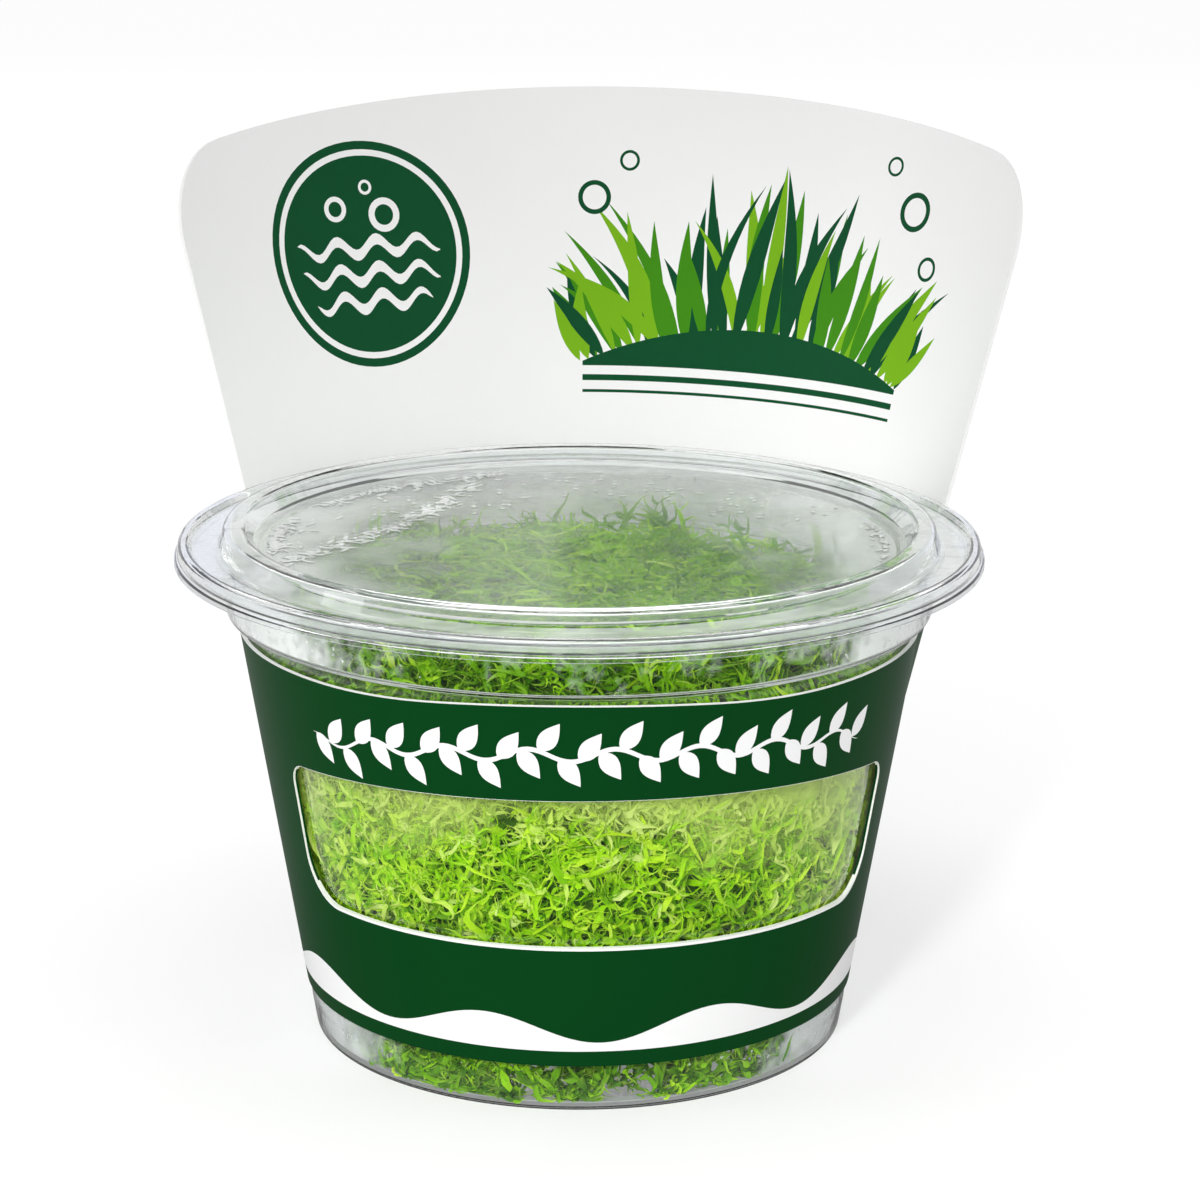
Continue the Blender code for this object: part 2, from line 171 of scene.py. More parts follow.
def makeWorld():
    # plain white for the camera and for soft light; bands of white and grey for the plastic to mirror
    world = bpy.data.worlds.new("white studio")
    bpy.context.scene.world = world
    world.use_nodes = True
    tree = world.node_tree
    background = tree.nodes["Background"]
    split = tree.nodes.new("ShaderNodeSeparateXYZ")
    tree.links.new(tree.nodes.new("ShaderNodeTexCoord").outputs["Generated"], split.inputs[0])
    height = mathNode(tree, "MULTIPLY_ADD", split.outputs["Z"], 0.5)
    height.node.inputs[2].default_value = 0.5
    bands = rampNode(tree, height, studio["bands"])
    shade = rampNode(tree, mathNode(tree, "MULTIPLY", split.outputs["Y"], -1.0), studio["frontShade"])
    mirrored = mixColour(tree, 1.0, bands, shade)
    mirrored.node.blend_type = "MULTIPLY"
    path = tree.nodes.new("ShaderNodeLightPath")
    plain = mathNode(tree, "MAXIMUM", path.outputs["Is Camera Ray"], path.outputs["Is Transmission Ray"])
    soft = mixColour(tree, plain, (studio["sky"],) * 3 + (1,), (studio["backdrop"],) * 3 + (1,))
    seen = mixColour(tree, path.outputs["Is Glossy Ray"], soft, mirrored)
    tree.links.new(seen, background.inputs["Color"])


def makeFloor():
    mesh = bpy.data.meshes.new("floor")
    reach = studio["floorReach"]
    mesh.from_pydata([(-reach, -reach, 0), (reach, -reach, 0), (reach, reach, 0), (-reach, reach, 0)],
                     [], [(0, 1, 2, 3)])
    white, tree, shader = newMaterial("white floor")
    shader.inputs["Base Color"].default_value = (studio["floorColour"],) * 3 + (1,)
    shader.inputs["Roughness"].default_value = 0.9
    shader.inputs["Specular IOR Level"].default_value = 0.0
    shader.inputs["Emission Strength"].default_value = 1.0
    place = tree.nodes.new("ShaderNodeTexCoord").outputs["Object"]
    away = []
    for middle in ((0.0, 0.0, 0.0), studio["darkCentre"]):
        distance = tree.nodes.new("ShaderNodeVectorMath")
        distance.operation = "DISTANCE"
        tree.links.new(place, distance.inputs[0])
        distance.inputs[1].default_value = middle
        away.append(distance.outputs["Value"])
    # the glow dips close about the foot: a painted contact shadow on the floor
    glow = [(0.045, studio["footShadowGlow"]), (0.085, studio["floorGlow"]), (0.25, studio["floorGlow"]),
            (0.9, studio["farGlow"])]
    tree.links.new(rampNode(tree, away[0], glow), shader.inputs["Emission Color"])
    # painted shade and light for mirrors: seen only in the plastic's and the card's reflections, the floor
    # is dark just before the object, brighter again about the foot and bright elsewhere
    grey = tree.nodes.new("ShaderNodeEmission")
    level = mathNode(tree, "MAXIMUM", rampNode(tree, away[1], studio["darkPatch"]),
                     rampNode(tree, away[0], studio["footPatch"]))
    tree.links.new(level, grey.inputs["Color"])
    mixShaders(white, tree.nodes.new("ShaderNodeLightPath").outputs["Is Glossy Ray"], shader, grey)
    white.cycles.emission_sampling = "NONE"
    floor = placeMesh("floor", mesh, white)


def makeStudio():
    makeWorld()
    makeFloor()
    for name in ("key", "side", "strip"):
        areaLight(name + " softbox", studio[name + "Place"], studio["middle"], studio[name + "Size"],
                  studio[name + "Power"])
    for name in ("front", "bounce"):
        light = areaLight(name + " beam", studio[name + "Place"], studio[name + "Target"],
                          studio[name + "Size"], studio[name + "Power"])
        light.visible_camera = light.visible_glossy = light.visible_transmission = False
        if name == "front":
            light.data.spread = math.radians(studio["frontSpread"])
    bpy.context.scene.view_settings.view_transform = "Standard"
    cycles = bpy.context.scene.cycles
    cycles.max_bounces = 14
    cycles.transmission_bounces = 14
    cycles.transparent_max_bounces = 24
    cycles.diffuse_bounces = 3
    cycles.glossy_bounces = 4
    cycles.use_light_tree = False


# Node helpers
def newMaterial(name):
    made = bpy.data.materials.new(name)
    made.use_nodes = True
    return made, made.node_tree, made.node_tree.nodes["Principled BSDF"]


def groupSocket(tree, name, direction, kind, value=None):
    socket = tree.interface.new_socket(name=name, in_out=direction, socket_type=kind)
    if value is not None:
        socket.default_value = value
    return socket


def gutterMesh(name, points):
    # points are (count, sections, 3, xyz), millimetres from the cup's axis: left, middle and right
    count, sections = points.shape[:2]
    places = points.reshape(-1, 3) * mm + np.array((axisX, axisY, 0.0))
    start = (np.arange(count) * sections * 3)[:, None, None]
    first = start + (np.arange(sections - 1) * 3)[None, :, None] + np.arange(2)[None, None, :]
    quads = np.stack((first, first + 1, first + 4, first + 3), axis=-1).reshape(-1, 4)
    mesh = bpy.data.meshes.new(name)
    mesh.from_pydata(places.tolist(), [], quads.tolist())
    mesh.shade_smooth()
    return mesh


def useGroup(tree, group, values):
    node = tree.nodes.new("ShaderNodeGroup")
    node.node_tree = group
    for name, value in values.items():
        node.inputs[name].default_value = value
    return node


def plug(tree, value, socket):
    # value is another node's output or a plain number or colour
    if isinstance(value, bpy.types.NodeSocket):
        tree.links.new(value, socket)
    else:
        socket.default_value = value


def mathNode(tree, operation, first, second=None):
    node = tree.nodes.new("ShaderNodeMath")
    node.operation = operation
    plug(tree, first, node.inputs[0])
    if second is not None:
        plug(tree, second, node.inputs[1])
    return node.outputs[0]


def mixColour(tree, factor, first, second):
    node = tree.nodes.new("ShaderNodeMix")
    node.data_type = "RGBA"
    for index, value in ((0, factor), (6, first), (7, second)):
        plug(tree, value, node.inputs[index])
    return node.outputs[2]


def mixShaders(made, factor, first, second):
    tree = made.node_tree
    mix = tree.nodes.new("ShaderNodeMixShader")
    for socket, value in zip(mix.inputs, (factor, first.outputs[0], second.outputs[0])):
        plug(tree, value, socket)
    tree.links.new(mix.outputs[0], tree.nodes["Material Output"].inputs["Surface"])


def passLamps(made, shader, colour):
    # shadow and soft light go straight through; cameras and mirrors see the shader
    tree = made.node_tree
    path = tree.nodes.new("ShaderNodeLightPath")
    through = tree.nodes.new("ShaderNodeBsdfTransparent")
    through.inputs["Color"].default_value = (*colour, 1)
    passes = mathNode(tree, "MAXIMUM", path.outputs["Is Shadow Ray"], path.outputs["Is Diffuse Ray"])
    mixShaders(made, passes, shader, through)


def rampNode(tree, value, stops):
    node = tree.nodes.new("ShaderNodeValToRGB")
    tree.links.new(value, node.inputs[0])
    ramp = node.color_ramp
    while len(ramp.elements) < len(stops):
        ramp.elements.new(0.5)
    for element, (place, colour) in zip(ramp.elements, stops):
        element.position = place
        element.color = (*colour, 1.0) if isinstance(colour, tuple) else (colour, colour, colour, 1.0)
    return node.outputs[0]


def noiseNode(tree, place, scale, detail=3.0, roughness=0.5):
    node = tree.nodes.new("ShaderNodeTexNoise")
    tree.links.new(place, node.inputs["Vector"])
    node.inputs["Scale"].default_value = scale
    node.inputs["Detail"].default_value = detail
    node.inputs["Roughness"].default_value = roughness
    return node.outputs["Fac"]


def buildSurfaceGrain():
    # fine grain and slow mottling, for the card's paper and inks and for the plastics' waviness
    tree = bpy.data.node_groups.new("surface grain", "ShaderNodeTree")
    groupSocket(tree, "Fine Scale", "INPUT", "NodeSocketFloat", 3000.0)
    groupSocket(tree, "Slow Scale", "INPUT", "NodeSocketFloat", 60.0)
    groupSocket(tree, "Slow Share", "INPUT", "NodeSocketFloat", 0.5)
    groupSocket(tree, "Height", "OUTPUT", "NodeSocketFloat")
    groupSocket(tree, "Slow", "OUTPUT", "NodeSocketFloat")
    inside = tree.nodes.new("NodeGroupInput")
    outside = tree.nodes.new("NodeGroupOutput")
    place = tree.nodes.new("ShaderNodeTexCoord").outputs["Object"]
    fine = tree.nodes.new("ShaderNodeTexNoise")
    slow = tree.nodes.new("ShaderNodeTexNoise")
    for node, scale in ((fine, "Fine Scale"), (slow, "Slow Scale")):
        tree.links.new(place, node.inputs["Vector"])
        tree.links.new(inside.outputs[scale], node.inputs["Scale"])
    mix = tree.nodes.new("ShaderNodeMix")
    tree.links.new(inside.outputs["Slow Share"], mix.inputs[0])
    tree.links.new(fine.outputs["Fac"], mix.inputs[2])
    tree.links.new(slow.outputs["Fac"], mix.inputs[3])
    tree.links.new(mix.outputs[0], outside.inputs["Height"])
    tree.links.new(slow.outputs["Fac"], outside.inputs["Slow"])
    return tree


def placeMesh(name, mesh, *surfaces):
    for surface in surfaces:
        mesh.materials.append(surface)
    piece = bpy.data.objects.new(name, mesh)
    bpy.context.scene.collection.objects.link(piece)
    return piece


def bumpFrom(tree, height, shader, strength, distance):
    node = tree.nodes.new("ShaderNodeBump")
    node.inputs["Strength"].default_value = strength
    node.inputs["Distance"].default_value = distance
    tree.links.new(height, node.inputs["Height"])
    tree.links.new(node.outputs["Normal"], shader.inputs["Normal"])


# Clear plastic
plastic = {
    "tint": (0.982, 0.990, 0.994),
    "shade": (0.985, 0.99, 0.99),    # what passes straight through for lamps
    "panelAlpha": 0.26,              # the lid's panel mirrors the header only faintly
    "roughness": 0.025,
    "ior": 1.53,
    "waves": {"Fine Scale": 275.0, "Slow Scale": 55.0, "Slow Share": 0.85},
    "waveDepth": 0.0002,
    "panelWave": 0.00006,
    "panelRoughness": 0.22,
}


def clearPlastic(name, grain, waveDepth, roughness, alpha=1.0):
    made, tree, shader = newMaterial(name)
    shader.inputs["Alpha"].default_value = alpha
    shader.inputs["Base Color"].default_value = (*plastic["tint"], 1)
    shader.inputs["Roughness"].default_value = roughness
    shader.inputs["IOR"].default_value = plastic["ior"]
    shader.inputs["Transmission Weight"].default_value = 1.0
    group = useGroup(tree, grain, plastic["waves"])
    bumpFrom(tree, group.outputs["Height"], shader, 1.0, waveDepth)
    passLamps(made, shader, plastic["shade"])
    return made


def roundedProfile(corners):
    # corners are (radius, height, fillet)
    points = [Vector(corners[0][:2])]
    for before, corner, after in zip(corners, corners[1:], corners[2:]):
        here = Vector(corner[:2])
        fillet = corner[2]
        if fillet == 0.0:
            points.append(here)
            continue
        back = (Vector(before[:2]) - here).normalized()
        ahead = (Vector(after[:2]) - here).normalized()
        turn = math.pi - back.angle(ahead)
        reach = fillet * math.tan(turn / 2)
        centre = here + (back + ahead).normalized() * fillet / math.cos(turn / 2)
        start = (here + back * reach - centre).normalized()
        end = (here + ahead * reach - centre).normalized()
        steps = max(2, math.ceil(math.degrees(turn) / turned["arcStep"]))
        for i in range(steps + 1):
            points.append(centre + start.slerp(end, i / steps) * fillet)
    points.append(Vector(corners[-1][:2]))
    return points


def turnedSheet(name, corners, surface):
    points = roundedProfile(corners)
    mesh = bpy.data.meshes.new(name)
    places = [(p.x * mm, 0.0, p.y * mm) for p in points]
    mesh.from_pydata(places, [(i, i + 1) for i in range(len(places) - 1)], [])
    piece = placeMesh(name, mesh)
    screw = piece.modifiers.new("turn", "SCREW")
    screw.steps = screw.render_steps = turned["steps"]
    screw.use_merge_vertices = True
    screw.merge_threshold = turned["merge"]
    shell = piece.modifiers.new("sheet", "SOLIDIFY")
    shell.thickness = cup["sheet"] * mm
    shell.offset = -1.0
    shell.use_even_offset = True
    shell.use_quality_normals = True
    applyModifiers(piece)
    piece.data.transform(Matrix.Translation((axisX, axisY, 0.0)))
    piece.data.shade_smooth()
    piece.data.set_sharp_from_angle(angle=math.radians(turned["sharpAngle"]))
    piece.data.materials.append(surface)
    return piece


def applyModifiers(piece):
    graph = bpy.context.evaluated_depsgraph_get()
    mesh = bpy.data.meshes.new_from_object(piece.evaluated_get(graph))
    piece.modifiers.clear()
    old = piece.data
    piece.data = mesh
    bpy.data.meshes.remove(old)
    mesh.name = piece.name


def makeCup(surface):
    corners = [
        (cup["rimRadius"], cup["rimZ"], 0.0),
        (cup["rimFoot"], cup["rimZ"], cup["rimFillet"]),
        (cup["collarRadius"], cup["collarZ"], cup["collarFillet"]),
        (wallRadius(cup["stepZ"]), cup["stepZ"], cup["stepFillet"]),
        (wallRadius(cup["footBandZ"]), cup["footBandZ"], cup["footCurve"]),
        (wallRadius(cup["footSlopeZ"]) + cup["footBand"], cup["footSlopeZ"], cup["footCurve"]),
        (cup["footRadius"] + cup["footBand"], 0.0, cup["footFillet"]),
        (cup["footInner"], 0.0, cup["footInnerFillet"]),
        (cup["floorRadius"], cup["floorZ"], cup["floorFillet"]),
        (0.0, cup["floorZ"], 0.0),
    ]
    piece = turnedSheet("clear_cup_wall", corners, surface)
    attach(piece, "root")
    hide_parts("cup")
    return piece


lid = {                  # upper surface of the formed lid
    "panelRadius": 40.5,
    "panelZ": 62.9,
    "panelFillet": 0.7,
    "panelPast": 0.5,    # the panel's plastic reaches this far up the ring
    "ringInner": 41.9,
    "ringInnerFillet": 0.9,
    "ringOuter": 44.3,
    "ringOuterFillet": 0.8,
    "ringZ": 65.2,
    "flangeRadius": 45.0,
    "flangeZ": 62.7,
    "flangeFillet": 0.5,
    "beadFoot": 48.2,
    "beadFootFillet": 0.4,
    "beadInner": 48.9,
    "beadOuter": 49.95,
    "beadZ": 63.5,
    "beadFillet": 0.55,
    "skirtRadius": 50.1,
    "skirtZ": 61.9,
    "lipRadius": 50.5,
    "lipTopZ": 61.6,
    "lipZ": 60.9,
}


def makeLid(surface, panelSurface):
    corners = [
        (0.0, lid["panelZ"], 0.0),
        (lid["panelRadius"], lid["panelZ"], lid["panelFillet"]),
        (lid["ringInner"], lid["ringZ"], lid["ringInnerFillet"]),
        (lid["ringOuter"], lid["ringZ"], lid["ringOuterFillet"]),
        (lid["flangeRadius"], lid["flangeZ"], lid["flangeFillet"]),
        (lid["beadFoot"], lid["flangeZ"], lid["beadFootFillet"]),
        (lid["beadInner"], lid["beadZ"], lid["beadFillet"]),
        (lid["beadOuter"], lid["beadZ"], lid["beadFillet"]),
        (lid["skirtRadius"], lid["skirtZ"], 0.0),
        (lid["lipRadius"], lid["lipTopZ"], 0.0),
        (lid["lipRadius"], lid["lipZ"], 0.0),
    ]
    piece = turnedSheet("clear_snap_lid", corners, surface)
    piece.data.materials.append(panelSurface)
    for face in piece.data.polygons:
        x, y = face.center.x - axisX, face.center.y - axisY
        if math.hypot(x, y) < (lid["panelRadius"] + lid["panelPast"]) * mm:
            face.material_index = 1
    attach(piece, "root")
    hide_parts("lid")
    return piece


# Card sleeve and header. Azimuths are degrees clockwise from the back, seen from above.
card = {
    "thickness": 0.5,
    "gap": 0.3,
    "bottom": 6.3,
    "top": 53.6,
    "topDip": 1.1,
    "dipSpan": 45.0,
    "lean": math.tan(math.radians(15.5)),
    "panelRadius": 51.2,
    "panelZ": 62.0,
    "headerCentre": 4.0,
    "headerHalf": 63.8,
    "headerTop": 111.4,
    "headerArch": 6.1,
    "headerCorner": 11.0,
    "headerFillet": 3.0,
    "headerArc": 63.0,
    "shoulder": 34.0,
    "rightShoulder": 22.0,
    "knee": 0.65,
    "flap": 18.0,
    "flapInset": 0.85,
    "windowCentre": 175.9,
    "windowHalf": 63.4,
    "windowLow": 22.3,
    "windowHigh": 41.6,
    "windowArch": 1.8,
    "rightArch": 2.6,
    "rightSag": 0.7,
    "lowCorner": 6.0,
    "highCorner": 2.8,
    "windowArc": 38.0,
    "whiteLine": (0.34, 0.04, 0.08),    # round the window: below, above and at the sides
    "edgeShadowGreen": 0.55,        # inner share of the cut edge at the window's sides that is green, a painted shadow line against the leaves
    "flatScale": 0.78,        # millimetres to a degree where the print is laid out
    "gridAzimuth": 2.2,
    "gridZ": 1.8,
    "step": 2.0,              # degrees between places along an edge
    "grain": {"Fine Scale": 2600.0, "Slow Scale": 70.0, "Slow Share": 0.25},
    "grainDepth": 0.00005,
    "gloss": 0.4,             # of paper and white, and of the darker inks
    "inkGloss": 0.06,
    "roughness": 0.42,
    "sharpAngle": 35.0,
    "merge": 2e-6,
}


def ease(t, knee):
    t = min(1.0, max(0.0, t))
    return t * t / knee if t <= knee else 1.0 - (1.0 - t) ** 2 / (1.0 - knee)


def cornerDrop(distance, radius):
    if distance >= radius:
        return 0.0
    short = radius - max(0.0, distance)
    return radius - math.sqrt(radius * radius - short * short)


def cardRadius(azimuth, z):
    snug = wallRadius(z) + card["gap"]
    panel = card["panelRadius"] + (z - card["panelZ"]) * card["lean"]
    rightEdge = card["headerCentre"] + card["headerHalf"]
    leftEdge = card["headerCentre"] - card["headerHalf"] + 360.0
    if azimuth < 180.0:
        share = ease((rightEdge + card["rightShoulder"] - azimuth) / card["rightShoulder"], card["knee"])
        return snug + (panel - snug) * share
    share = ease((azimuth - leftEdge + card["shoulder"]) / card["shoulder"], card["knee"])
    return snug + (panel - card["flapInset"] - snug) * share


def cardPoint(azimuth, z):
    radius = cardRadius(azimuth, z)
    turn = math.radians(azimuth)
    return onAxis(radius * math.sin(turn), radius * math.cos(turn), z)


def cardNormal(azimuth, z):
    # outward normal of the card's inner surface
    step = 0.05
    across = cardPoint(azimuth + step, z) - cardPoint(azimuth - step, z)
    upward = cardPoint(azimuth, z + step) - cardPoint(azimuth, z - step)
    return upward.cross(across).normalized()


def headerTop(azimuth):
    off = azimuth - card["headerCentre"]
    inset = math.radians(card["headerHalf"] - abs(off)) * card["headerArc"]
    arch = card["headerArch"] * (off / card["headerHalf"]) ** 2
    return card["headerTop"] - arch - cornerDrop(inset, card["headerCorner"])


def sleeveTop(azimuth):
    dip = card["topDip"] * ease(abs(azimuth - 180.0) / card["dipSpan"], 0.5)
    past = azimuth - card["headerCentre"] - card["headerHalf"]
    rise = cornerDrop(math.radians(past) * card["windowArc"], card["headerFillet"])
    return card["top"] - dip + rise


def windowEdge(azimuth, upper):
    off = min(card["windowHalf"], abs(azimuth - card["windowCentre"]))
    inset = math.radians(card["windowHalf"] - off) * card["windowArc"]
    fall = (off / card["windowHalf"]) ** 2
    right = azimuth < card["windowCentre"]
    if upper:
        arch = card["rightArch" if right else "windowArch"] * fall
        return card["windowHigh"] - arch - cornerDrop(inset, card["highCorner"])
    return card["windowLow"] - card["rightSag"] * fall * right + cornerDrop(inset, card["lowCorner"])


def spread(start, end, step, tight=()):
    # azimuths from start to end, close together near each tight place
    places = list(np.linspace(start, end, max(2, round(abs(end - start) / step) + 1)))
    for centre, reach in tight:
        for turn in range(0, 91, 9):
            inset = reach * (1.0 - math.cos(math.radians(turn)))
            for place in (centre - inset, centre + inset):
                if min(start, end) < place < max(start, end):
                    places.append(place)
    places = sorted(set(round(p, 4) for p in places))
    return places if start < end else places[::-1]


def cardEnds():
    # azimuths of the header's two side edges and of the tucked flap's end
    left = card["headerCentre"] - card["headerHalf"]
    return left, card["headerCentre"] + card["headerHalf"], left + 360.0 + card["flap"]


def cardOutline():
    left, right, end = cardEnds()
    corner = math.degrees(card["headerCorner"] / card["headerArc"])
    fillet = math.degrees(card["headerFillet"] / card["windowArc"])
    points = [(a, card["bottom"]) for a in spread(left, end, card["step"])]
    points += [(a, sleeveTop(a)) for a in spread(end, right, card["step"], [(right, fillet)])]
    tight = [(left, corner), (right, corner)]
    points += [(a, headerTop(a)) for a in spread(right, left, card["step"], tight)]
    return points


def windowOutline(grow=(0.0, 0.0, 0.0)):
    # grow is how far the outline moves out below, above and at the sides, millimetres
    left = card["windowCentre"] + card["windowHalf"]
    right = card["windowCentre"] - card["windowHalf"]
    lowReach = math.degrees(card["lowCorner"] / card["windowArc"])
    highReach = math.degrees(card["highCorner"] / card["windowArc"])
    points = []
    for upper, start, end, reach in ((False, right, left, lowReach), (True, left, right, highReach)):
        points += [Vector((a, windowEdge(a, upper)))
                   for a in spread(start, end, card["step"], [(left, reach), (right, reach)])]
    if not any(grow):
        return [tuple(p) for p in points]
    perDegree = math.radians(card["windowArc"])
    flat = [Vector((p.x * perDegree, p.y)) for p in points]
    grown = []
    for i, here in enumerate(flat):
        along = (flat[(i + 1) % len(flat)] - flat[i - 1]).normalized()
        out = Vector((along.y, -along.x))
        reach = grow[0] * max(0.0, -out.y) + grow[1] * max(0.0, out.y) + grow[2] * abs(out.x)
        moved = here + out * reach
        grown.append((moved.x / perDegree, moved.y))
    return grown


def insideOf(places, outline):
    # which of the places lie inside a closed outline
    x, y = places[:, 0], places[:, 1]
    inside = np.zeros(len(places), bool)
    for (x0, y0), (x1, y1) in zip(outline, np.roll(outline, -1, axis=0)):
        if y0 != y1:
            inside ^= ((y0 > y) != (y1 > y)) & (x < x0 + (y - y0) * (x1 - x0) / (y1 - y0))
    return inside


def fillPrint(shapes, grid):
    # shapes are (points, ink) in drawing order; gives the triangles and each one's ink
    scale = np.array((card["flatScale"], 1.0))
    loops = [np.array(outline) * scale for outline, ink in shapes]
    points, faces = [], []
    for loop in loops:
        faces.append(list(range(len(points), len(points) + len(loop))))
        points += [Vector(p) for p in loop]
    points += [Vector(np.array(p) * scale) for p in grid]
    places, _, triangles = geometry.delaunay_2d_cdt(points, [], faces, 0, 1e-4)[:3]
    flat = np.array([tuple(p) for p in places])
    centres = flat[np.array(triangles)].mean(axis=1)
    shown = np.full(len(triangles), -1)
    for index, loop in enumerate(loops):
        shown[insideOf(centres, loop)] = index
    kept = [(triangle, shapes[index][1]) for triangle, index in zip(triangles, shown)
            if index >= 0 and shapes[index][1] is not None]
    return [tuple(p) for p in flat / scale], kept


def cardGrid():
    left, right, end = cardEnds()
    grid = []
    for a in np.arange(left + 1.0, end - 1.0, card["gridAzimuth"]):
        top = headerTop(a) if a < right - 0.5 else sleeveTop(max(a, right + 0.5))
        for z in np.arange(card["bottom"] + 1.0, top - 0.6, card["gridZ"]):
            grid.append((float(a), float(z)))
    return grid


wave = {                 # white band near the sleeve's foot
    "middle": 11.35,
    "height": 1.8,
    "count": 8,
    "shift": 4.6,        # degrees from the front to the first trough
    "low": 8.35,
    "step": 1.5,
    "past": 5.0,         # beyond both ends of the card
}


def waveBand():
    left, _, end = cardEnds()
    left, end = left - wave["past"], end + wave["past"]
    points = [(a, wave["low"]) for a in spread(left, end, card["step"])]
    for a in spread(end, left, wave["step"]):
        turn = math.radians(wave["count"] * (180.0 - a - wave["shift"]))
        points.append((a, wave["middle"] - wave["height"] * math.cos(turn)))
    return points


def circle(centre, radius, steps=28):
    # a circle on the card, centre as azimuth and height, radius in millimetres on the card
    perDegree = math.radians(cardRadius(centre[0], centre[1]))
    points = []
    for i in range(steps):
        turn = math.tau * i / steps
        points.append((centre[0] + radius * math.cos(turn) / perDegree,
                       centre[1] + radius * math.sin(turn)))
    return points


def leafShape(root, angle, length, width, bend=0.0, steps=9):
    # a pointed leaf on the card; angle in degrees from the card's right, as seen from its printed side
    perDegree = math.radians(cardRadius(root[0], root[1]))
    along = Vector((math.cos(math.radians(angle)), math.sin(math.radians(angle))))
    side = Vector((-along.y, along.x))
    left, right = [], []
    for i in range(steps + 1):
        t = i / steps
        middle = along * length * t + side * bend * length * t * t
        half = width / 2 * math.sin(math.pi * t ** 0.8)
        left.append(middle + side * half)
        right.append(middle - side * half)
    flat = left + right[-2:0:-1]
    return [(root[0] + p.x / perDegree, root[1] + p.y) for p in flat]


garland = {              # vine border in place of lettering, above the window
    "middle": 47.5,
    "arch": 2.3,
    "sweep": 0.8,
    "half": 52.0,
    "leaves": 32,
    "length": 4.3,
    "width": 2.3,
    "stem": 0.6,
}


def garlandLine(phi):
    rise = garland["middle"] - garland["arch"] * (phi / 50.0) ** 2
    swing = garland["sweep"] * math.sin(math.radians(phi) * 180.0 / garland["half"] * 7.5)
    return rise + swing


def makeGarland():
    # outside of the card, so azimuth falls to the right as seen from the front
    shapes = []
    phis = list(np.linspace(-garland["half"], garland["half"], 121))
    centre = card["windowCentre"] + 1.5
    stem = [(p, garland["stem"] / 2 * (1.02 - abs(p / garland["half"]) ** 6)) for p in phis]
    low = [(centre - p, garlandLine(p) - half) for p, half in stem]
    high = [(centre - p, garlandLine(p) + half) for p, half in reversed(stem)]
    shapes.append((low + high, "white"))
    length, width = garland["length"], garland["width"]
    for i in range(garland["leaves"]):
        phi = -garland["half"] + 2 * garland["half"] * (i + 0.3) / garland["leaves"]
        up = 1 if i % 2 else -1
        root = (centre - phi, garlandLine(phi))
        shapes.append((leafShape(root, 180 - 48 * up, length, width, -0.1 * up), "white"))
    return shapes


header = {               # drawings on the header, azimuth and height of each
    "medallion": (-30.0, 90.0),
    "medallionRadius": 15.0,
    "meadow": (25.0, 74.5),
    "meadowHalf": 25.0,
    "meadowMound": 5.0,
    "blades": 58,
    "bladeLength": (9.0, 25.0),
    "bladeWidth": (1.4, 2.6),
    "bubbles": ((1.5, 96.5, 2.3), (6.0, 101.5, 1.4), (47.0, 97.5, 2.6), (51.0, 90.5, 1.6),
                (42.5, 103.0, 1.3)),
    # inside the round badge: rings as share of its radius, waves and bubbles from its middle, millimetres
    "badgeRings": ((1.0, "deep"), (0.925, "paper"), (0.87, "deep")),
    "badgeWaves": 3,
    "waveStart": -0.42,
    "waveStep": 0.24,
    "waveReach": 0.78,
    "waveBend": 1.05,
    "waveThick": 0.7,
    "badgeBubbles": ((-4.0, 6.2, 1.7), (0.8, 8.8, 1.0), (3.1, 5.0, 2.3)),
    "bubbleHole": 0.72,
    "rules": ((2.6, 0.8), (4.2, 0.4)),   # below the meadow: how far down and how thick
}


def headerArt():
    # inside of the card, which the front view sees above the lid; azimuth rises to the right there
    shapes = []
    medallion, radius = header["medallion"], header["medallionRadius"]
    for share, ink in header["badgeRings"]:
        shapes.append((circle(medallion, radius * share, 72), ink))
    perDegree = math.radians(cardRadius(*medallion))
    for row in range(header["badgeWaves"]):
        lower, upper = [], []
        z = medallion[1] + radius * (header["waveStart"] + row * header["waveStep"])
        half = math.sqrt((radius * header["waveReach"]) ** 2 - (z - medallion[1]) ** 2) * 0.92
        for x in np.linspace(-half, half, 41):
            swing = math.sin(x * header["waveBend"])
            thick = header["waveThick"] * math.sqrt(max(0.0, 1 - (x / half) ** 2)) + 0.05
            lower.append((medallion[0] + x / perDegree, z + swing - thick))
            upper.append((medallion[0] + x / perDegree, z + swing + thick))
        shapes.append((lower + upper[::-1], "paper"))
    for x, z, size in header["badgeBubbles"]:
        centre = (medallion[0] + x / perDegree, medallion[1] + z)
        shapes.append((circle(centre, size, 24), "paper"))
        shapes.append((circle(centre, size * 0.6, 24), "deep"))
    shapes += meadowArt()
    for azimuth, z, size in header["bubbles"]:
        shapes.append((circle((azimuth, z), size, 30), "deep"))
        shapes.append((circle((azimuth, z), size * header["bubbleHole"], 30), "paper"))
    return shapes


